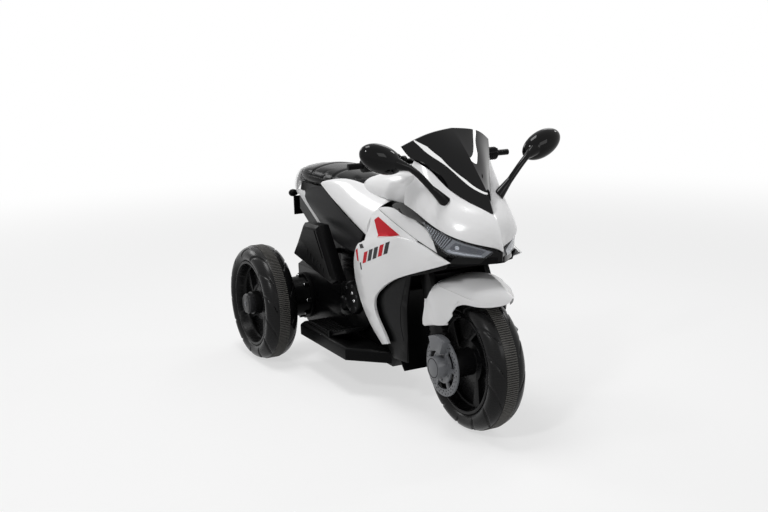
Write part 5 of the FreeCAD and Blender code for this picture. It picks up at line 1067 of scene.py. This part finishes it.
# seat: stuffed by a cloth run from a slightly smaller form, then seams, piping and stitches
seatSettings = {
    "voxel": 0.005, "shrink": 0.0035, "pressure": 4.0, "frames": 20, "cap": 0.006, "fill": 0.7,
    "smooth": 70, "channels": (-0.262, -0.172), "channelDepth": 0.0022, "channelHalf": 0.0055,
    "channelBow": 0.25, "channelFrom": 0.05, "channelFade": 2,
    "seamHeight": 0.4345, "pipingRadius": 0.0017, "pipingSteps": 3, "loopSteps": 120, "loopEase": 40,
    "stitches": 160, "stitchRise": 0.0065, "stitchSegments": 6,
    "stitch": [(0, -0.0016), (0.0003, -0.0013), (0.00042, 0), (0.0003, 0.0013), (0, 0.0016)],
}


def makeSeat(settings):
    mesh = cadNodes["seat"].data.copy()
    seat = newPiece("seat", mesh, "seatVinyl")
    mergeCorners(mesh)
    remesh = seat.modifiers.new("evenGrid", "REMESH")
    remesh.mode = "VOXEL"
    remesh.voxel_size = settings["voxel"]
    applyModifiers(seat)
    for vertex, normal in zip(seat.data.vertices, [vertex.normal.copy() for vertex in seat.data.vertices]):
        vertex.co -= normal * settings["shrink"]
    stuffSeat(seat, settings)
    smoothing = seat.modifiers.new("soften", "SUBSURF")
    smoothing.levels = smoothing.render_levels = 1
    applyModifiers(seat)
    sewChannels(seat.data, settings)
    evenFaces(seat.data)
    seat.data.materials.clear()
    seat.data.materials.append(finishes["seatVinyl"])
    settle(seat, "chassis", "seat", smooth=settings["smooth"])
    return seat


def stuffSeat(seat, settings):
    start = [vertex.co.copy() for vertex in seat.data.vertices]
    pinned = min(point.z for point in start) + settings["voxel"]
    pins = seat.vertex_groups.new(name="pins")
    pins.add([index for index, point in enumerate(start) if point.z < pinned], 1.0, "REPLACE")
    stuffing = seat.modifiers.new("stuffing", "CLOTH")
    stuffing.settings.use_pressure = True
    stuffing.settings.uniform_pressure_force = settings["pressure"]
    stuffing.settings.effector_weights.gravity = 0
    stuffing.settings.vertex_group_mass = "pins"
    stuffing.point_cache.frame_start = 1
    stuffing.point_cache.frame_end = settings["frames"]
    for step in range(1, settings["frames"] + 1):
        scene.frame_set(step)
    applyModifiers(seat)
    scene.frame_set(1)
    for vertex, point in zip(seat.data.vertices, start):
        move = vertex.co - point
        if move.length > settings["cap"]:
            vertex.co = point + move * (settings["cap"] / move.length)


def sewChannels(mesh, settings):
    for vertex in mesh.vertices:
        if vertex.normal.z < settings["channelFrom"]:
            continue
        bow = abs(vertex.co.y) * settings["channelBow"]
        dip = sum(math.exp(-((vertex.co.x - place - bow) / settings["channelHalf"]) ** 2)
                  for place in settings["channels"])
        fade = min(1, vertex.normal.z * settings["channelFade"])
        vertex.co.z -= settings["channelDepth"] * min(1, dip) * fade


def seatLoop(seat, settings, rise, steps):
    # a level line round the seat's side, eased so that it runs smooth, with the outward way at each place
    surface = meshTree(seat.data)
    low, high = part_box("seat")
    middle = Vector(((low[0] + high[0]) / 2, 0, settings["seamHeight"] + rise))
    ways = []
    reach = []
    for step in range(steps):
        angle = 2 * math.pi * step / steps
        way = Vector((math.cos(angle) * (high[0] - low[0]) / 2, math.sin(angle) * high[1], 0)).normalized()
        distance = surface.ray_cast(middle, way)[3]
        if distance is not None:
            ways.append(way)
            reach.append(distance)
    for _ in range(settings["loopEase"]):
        reach = (np.roll(reach, 1) + 2 * np.array(reach) + np.roll(reach, -1)) / 4
    places = []
    for way, distance in zip(ways, reach):
        place, normal, _, _ = surface.find_nearest(middle + way * float(distance))
        places.append((place, normal if normal.dot(way) > 0 else -normal))
    return places


def makeSeatTrim(seat, settings):
    loop = seatLoop(seat, settings, 0, settings["loopSteps"])
    curve = bpy.data.curves.new("seatPiping", "CURVE")
    curve.dimensions = "3D"
    curve.bevel_depth = settings["pipingRadius"]
    curve.bevel_resolution = settings["pipingSteps"]
    line = curve.splines.new("NURBS")
    line.points.add(len(loop) - 1)
    for point, (place, _) in zip(line.points, loop):
        point.co = (*place, 1)
    line.order_u = 3
    line.use_cyclic_u = True
    route = bpy.data.objects.new("seatPipingRoute", curve)
    scene.collection.objects.link(route)
    mesh = bpy.data.meshes.new_from_object(route.evaluated_get(bpy.context.evaluated_depsgraph_get()))
    bpy.data.objects.remove(route)
    settle(newPiece("seatPiping", mesh, "seatVinyl"), "chassis")
    around = seatLoop(seat, settings, settings["stitchRise"], settings["stitches"])
    spots = []
    for (place, outward), (after, _) in zip(around, around[1:] + around[:1]):
        spots.append((place, outward, (after - place).normalized()))
    stitch = latheMesh("stitch", settings["stitch"], settings["stitchSegments"])
    stitch.transform(Matrix.Rotation(math.pi / 2, 4, "Y"))
    scatter("seatStitches", stitch, "trimGrey", spots, "chassis")


seat = makeSeat(seatSettings)
makeSeatTrim(seat, seatSettings)
print("seat sewn")


# screws and bolts
screwSettings = {
    "radius": 0.0032, "height": 0.0016, "recess": 0.0011, "segments": 14,
    # shares of the radius or the recess, and of the height
    "head": [(1, -0.5), (1, 0.35), (0.86, 0.75), (0.55, 1)], "socket": [(1.2, 1), (1, 0.45), (0, 0.35)],
    # rings as how far out the face is, ring radius, count and phase
    "gearbox": (0.0801, 0.0495, 8, 0.0), "engine": (0.0831, 0.028, 6, 0.3), "disc": (0.0721, 0.0275, 6, 0.5),
    "engineScale": 1.1, "discScale": 0.9, "boltScale": 1.2,
    "engineCase": (-0.05, 0, 0.13), "engineBolts": ((0.006, 0.012), (0.014, -0.004)),
    "clampHeight": 0.4211, "clampFore": (-0.012, 0.012), "clampAcross": (-0.015, 0.015),
    "plate": (-0.652, 0, 0.453), "plateLift": 0.0001, "plateAcross": (-0.03, 0.03),
}


def screwMesh(settings, scale=1.0):
    # domed head with a round driver recess
    outline = []
    for shares, radius in ((settings["head"], "radius"), (settings["socket"], "recess")):
        outline += [(settings[radius] * scale * out, settings["height"] * scale * up) for out, up in shares]
    return latheMesh("screw", outline, settings["segments"])


def ringSpots(centre, radius, count, facing, phase=0.0):
    # spots round a circle in the XZ plane, all facing one way
    spots = []
    for index in range(count):
        angle = phase + 2 * math.pi * index / count
        out = Vector((math.cos(angle), 0, math.sin(angle)))
        spots.append((centre + out * radius, facing, out))
    return spots


def screwRing(settings, kind, centre, side):
    face, radius, count, phase = settings[kind]
    return ringSpots(centre + wayY * (side * face), radius, count, wayOut(side), phase)


def makeScrews(settings):
    case = bodyPoint(*settings["engineCase"])
    small = screwMesh(settings)
    engine, disc, bolt = [screwMesh(settings, settings[key])
                          for key in ("engineScale", "discScale", "boltScale")]
    for word, side in sides:
        scatter(word + "GearboxScrews", small, "brightSteel",
                screwRing(settings, "gearbox", hubPoint(-1, 0), side), "chassis")
        scatter(word + "EngineScrews", engine, "hubGrey",
                screwRing(settings, "engine", case, side), "chassis")
        face = case + wayY * (side * settings["engine"][0])
        bright = [(face + Vector((fore, 0, rise)), wayOut(side), wayX)
                  for fore, rise in settings["engineBolts"]]
        scatter(word + "EngineBolts", bolt, "brightSteel", bright, "chassis")
        scatter(word + "DiscBolts", disc, "trimGrey",
                screwRing(settings, "disc", hubPoint(1, 0), side), "fork")
    rake = math.radians(partSizes["rake"])
    upward = Vector((-math.sin(rake), 0, math.cos(rake)))
    forward = Vector((math.cos(rake), 0, math.sin(rake)))
    bar = hubPoint(1, 0) + upward * settings["clampHeight"]
    clamp = [(bar + forward * fore + wayY * across, upward, forward)
             for fore in settings["clampFore"] for across in settings["clampAcross"]]
    scatter("clampBolts", bolt, "brightSteel", clamp, "fork")
    plate = bodyPoint(*settings["plate"]) - wayX * settings["plateLift"]
    holder = [(plate + wayY * across, wayBack, wayY) for across in settings["plateAcross"]]
    scatter("plateScrews", small, "brightSteel", holder, "chassis")


makeScrews(screwSettings)

# brake discs: two rings of flat black dots laid on the face, painted shade standing for drilled holes
discSettings = {
    # rings as radius, count and phase
    "face": 0.07203, "rings": ((0.0478, 30, 0.0), (0.0532, 30, 0.105)),
    "hole": [(0.0015, 0), (0.0015, 0.00012), (0, 0.00012)], "segments": 10,
}


def makeDiscHoles(settings):
    hole = latheMesh("drilledHole", settings["hole"], settings["segments"])
    for word, side in sides:
        centre = hubPoint(1, side * settings["face"])
        spots = []
        for radius, count, phase in settings["rings"]:
            spots += ringSpots(centre, radius, count, wayOut(side), phase)
        # each dot is a thin black disc, painted shade in place of a hole
        scatter(word + "DiscHoles", hole, "decalBlack", spots, "fork")


makeDiscHoles(discSettings)

# grips: raised rings along each sleeve
gripSettings = {
    "centre": (0.178658, 0.509582), "span": (0.08, 0.149), "rings": 15,
    # radius and thickness
    "wire": (0.0124, 0.0009), "segments": 28,
}


def makeGripRings(settings):
    x, z = settings["centre"]
    for word, side in sides:
        spots = [(Vector((x, side * across, z)), wayOut(side), wayX)
                 for across in np.linspace(*settings["span"], settings["rings"])]
        ring = latheMesh("gripRing", wireOutline(*settings["wire"]), settings["segments"])
        scatter(word + "GripRings", ring, "gripRubber", spots, "fork")


makeGripRings(gripSettings)

# footboards: slanted anti-slip bars between the moulded ribs and ahead of them
boardSettings = {
    "foot": 0.1038, "step": 0.0105, "rows": 6, "bar": (0.0075, 0.0026, 0.0011, 0.0006), "lean": math.pi / 4,
    "rear": -0.205, "front": {"right": -0.09, "left": 0.07}, "inner": 0.0645, "outer": 0.122,
    "ribs": (0.069, 0.0846, 0.1002, 0.1159), "ribHalf": 0.0062, "ribEnd": -0.083,
    "cornerFrom": 0.02, "cornerOuter": 0.125, "cornerSlope": 0.95,
}


def footBarFits(settings, x, across):
    # clear of the moulded ribs and inside the board's edge, which slants in at the front
    onRib = x < settings["ribEnd"] and any(abs(across - rib) < settings["ribHalf"]
                                           for rib in settings["ribs"])
    ahead = x - settings["cornerFrom"]
    pastCorner = ahead > 0 and across > settings["cornerOuter"] - ahead * settings["cornerSlope"]
    return not (onRib or pastCorner or across > settings["outer"])


def makeFootGrip(settings):
    step, rear = settings["step"], settings["rear"]
    for word, side in sides:
        spots = []
        for column in range(int((settings["front"][word] - rear) / step)):
            for row in range(settings["rows"]):
                x, across = rear + step * column, settings["inner"] + step * row
                if footBarFits(settings, x, across):
                    lean = settings["lean"] * (1 if (row + column) % 2 else -1)
                    spots.append((Vector((x, side * across, settings["foot"])), wayZ,
                                  Vector((math.cos(lean), math.sin(lean), 0))))
        scatter(word + "FootGrip", blockMesh("footBar", *settings["bar"]), "hubGrey", spots, "chassis")


makeFootGrip(boardSettings)
print("screws, holes, rings and foot grips set")


# hub caps: raised rings and a bolt head at the rear; at the front one flat dark ring, painted shade of the
# gap at the cap's rim
hubSettings = {
    # rings as radius and thickness
    "face": 0.216, "rings": ((0.0205, 0.0011), (0.0155, 0.0009)), "squash": 0.6, "segments": 40,
    "capRing": (0.0185, 0.0008), "capRise": 0.0002,
    # shares of the bolt's radius, and heights
    "bolt": 0.0062, "boltSegments": 6,
    "head": [(1, -0.0005), (1, 0.0012), (0.7, 0.0018), (0.45, 0.0018), (0.4, 0.0006), (0, 0.0006)],
}


def makeHubRings(settings):
    segments = settings["segments"]
    for word, side in sides:
        rear = [(hubPoint(-1, side * settings["face"]), wayOut(side), wayX)]
        wheel = f"rear_{word}_wheel"
        for index, ring in enumerate(settings["rings"]):
            raised = latheMesh("hubRing", wireOutline(*ring, settings["squash"]), segments)
            scatter(f"{word}HubRing{index + 1}", raised, "hubGrey", rear, wheel)
        # the front cap's flat dark band is painted shade standing for a gap at its rim
        radius, thick = settings["capRing"]
        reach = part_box(word + "_brake_trim")[1 if side > 0 else 0][1]
        band = bandOutline(radius - thick, radius + thick, 0, settings["capRise"])
        scatter(word + "CapRing", latheMesh("capRing", band, segments), "satinGrey",
                [(hubPoint(1, reach), wayOut(side), wayX)], "fork")
        head = [(settings["bolt"] * share, height) for share, height in settings["head"]]
        bolt = latheMesh("hubBolt", head, settings["boltSegments"])
        scatter(word + "HubBolt", bolt, "trimGrey", rear, wheel)


makeHubRings(hubSettings)

# muffler box: a raised inner field, a long slanted rib and short vents
mufflerSettings = {
    "lift": 0.0, "wall": 0.0016,
    "fields": [
        [(-0.262, 0.438), (-0.178, 0.443), (-0.118, 0.32), (-0.246, 0.345), (-0.296, 0.37)],
        [(-0.165, 0.44), (-0.155, 0.44), (-0.062, 0.246), (-0.072, 0.244)],
    ],
    "vents": 6, "ventFrom": (-0.246, 0.318), "ventTo": (-0.116, 0.262), "ventLean": 0.35,
    "vent": (0.013, 0.0032, 0.0014, 0.0008), "side": -1,
}


def makeMufflerTrim(settings):
    side = settings["side"]
    for index, outline in enumerate(settings["fields"]):
        layOn(f"mufflerField{index + 1}", "muffler", outline, side, settings["lift"], settings["wall"],
              "satinBlack")
    surface = surfaceOf("muffler")
    lean = Vector((settings["ventLean"], 0, 1)).normalized()
    spots = []
    for share in np.linspace(0, 1, settings["vents"]):
        along, up = [a + (b - a) * share for a, b in zip(settings["ventFrom"], settings["ventTo"])]
        place, _ = castFrom(side, surface, *bodyPoint(along, 0, up).xz)
        if place is not None:
            spots.append((place, wayOut(side), lean))
    scatter("mufflerVents", blockMesh("mufflerVent", *settings["vent"]), "satinGrey", spots, "chassis")


makeMufflerTrim(mufflerSettings)

# rear indicators: egg-shaped pods on one bar
indicatorSettings = {
    "centre": (-0.40495, 0, 0.37395), "segments": 28,
    "half": [(0.004, 0.0395), (0.0065, 0.0425), (0.0085, 0.0475), (0.009, 0.052), (0.0078, 0.0575),
             (0.0045, 0.061), (0, 0.062)],
}


def makeIndicators(settings):
    half = settings["half"]
    outline = [(radius, -reach) for radius, reach in reversed(half)] + half
    mesh = latheMesh("rearIndicators", outline, settings["segments"])
    mesh.transform(Matrix.Translation(settings["centre"]) @ Matrix.Rotation(math.pi / 2, 4, "X"))
    pods = newPiece("rearIndicators", mesh, "satinBlack")
    settle(pods, "chassis", "rear_indicators")


makeIndicators(indicatorSettings)
print("hub rings, muffler trim and indicators set")


# mirrors: silvered glass in the flat back of each head
mirrorSettings = {
    "back": 0.29956, "across": 0.176, "height": 0.53685, "half": (0.0385, 0.0205), "tilt": 24, "wall": 0.0012,
    # shares of the half sizes and of the wall
    "outline": [(1.0, 0.0), (1.0, 0.7), (0.97, 1.0), (0.6, 1.3), (0, 1.5)], "segments": 56,
}


def makeMirrorGlass(settings):
    spread = Matrix.Diagonal((settings["wall"], *settings["half"], 1))
    stand = Matrix.Rotation(-math.pi / 2, 4, "Y")
    for word, side in sides:
        glass = latheMesh(word + "MirrorGlass", settings["outline"], settings["segments"])
        place = Matrix.Translation((settings["back"], side * settings["across"], settings["height"]))
        lean = Matrix.Rotation(math.radians(settings["tilt"]) * side, 4, "X")
        glass.transform(place @ lean @ spread @ stand)
        turnOutward(glass)
        settle(newPiece(word + "MirrorGlass", glass, "mirrorGlass"), "chassis")


makeMirrorGlass(mirrorSettings)

# dash: two round gauges with ticks and a needle
gaugeSettings = {
    "face": 0.2637, "height": 0.4335, "across": 0.019, "radius": 0.0155, "segments": 36,
    # shares of the radius, and heights
    "rim": [(1, 0), (1, 0.0024), (0.93, 0.003), (0.86, 0.0022), (0.86, 0)],
    "dial": [(0.88, 0), (0.88, 0.0008), (0, 0.0008)],
    # lift over the face, and distance from the middle as a share of the radius
    "tickPlace": (0.0007, 0.72), "tick": (0.0026, 0.0006, 0.0003, 0.0001), "ticks": 13, "sweep": 250,
    "needlePlace": (0.0009, 0.3), "needle": (0.0105, 0.0008, 0.0005, 0.0002), "needleAngle": -70,
}


def makeGauges(settings):
    radius = settings["radius"]

    def mark(centre, degrees, lift, reach):
        angle = math.radians(degrees)
        way = Vector((0, math.sin(angle), math.cos(angle)))
        return centre + wayBack * lift + way * radius * reach, wayBack, way

    def turned(name, outline):
        return latheMesh(name, [(radius * share, height) for share, height in outline], settings["segments"])

    ticks = []
    needles = []
    centres = []
    for _, side in sides:
        centre = Vector((settings["face"], side * settings["across"], settings["height"]))
        centres.append((centre, wayBack, wayZ))
        for index in range(settings["ticks"]):
            degrees = settings["sweep"] * (index / (settings["ticks"] - 1) - 0.5)
            ticks.append(mark(centre, degrees, *settings["tickPlace"]))
        needles.append(mark(centre, settings["needleAngle"], *settings["needlePlace"]))
    scatter("gaugeRims", turned("gaugeRim", settings["rim"]), "trimGrey", centres, "chassis")
    scatter("gaugeDials", turned("gaugeDial", settings["dial"]), "decalBlack", centres, "chassis")
    scatter("gaugeTicks", blockMesh("gaugeTick", *settings["tick"]), "dialWhite", ticks, "chassis")
    scatter("gaugeNeedles", blockMesh("gaugeNeedle", *settings["needle"]), "decalRed", needles, "chassis")


makeGauges(gaugeSettings)

# tail lamp: fine upright ribs on its face
tailSettings = {
    "face": -0.43262, "height": 0.4037, "half": 0.0145, "ribs": 11, "bar": (0.0125, 0.0013, 0.0006, 0.0003),
}


def makeTailRibs(settings):
    spots = [(Vector((settings["face"], across, settings["height"])), wayBack, wayZ)
             for across in np.linspace(-settings["half"], settings["half"], settings["ribs"])]
    scatter("tailLampRibs", blockMesh("tailRib", *settings["bar"]), "lampRed", spots, "chassis")


makeTailRibs(tailSettings)
print("mirror glass, gauges and tail lamp finished")
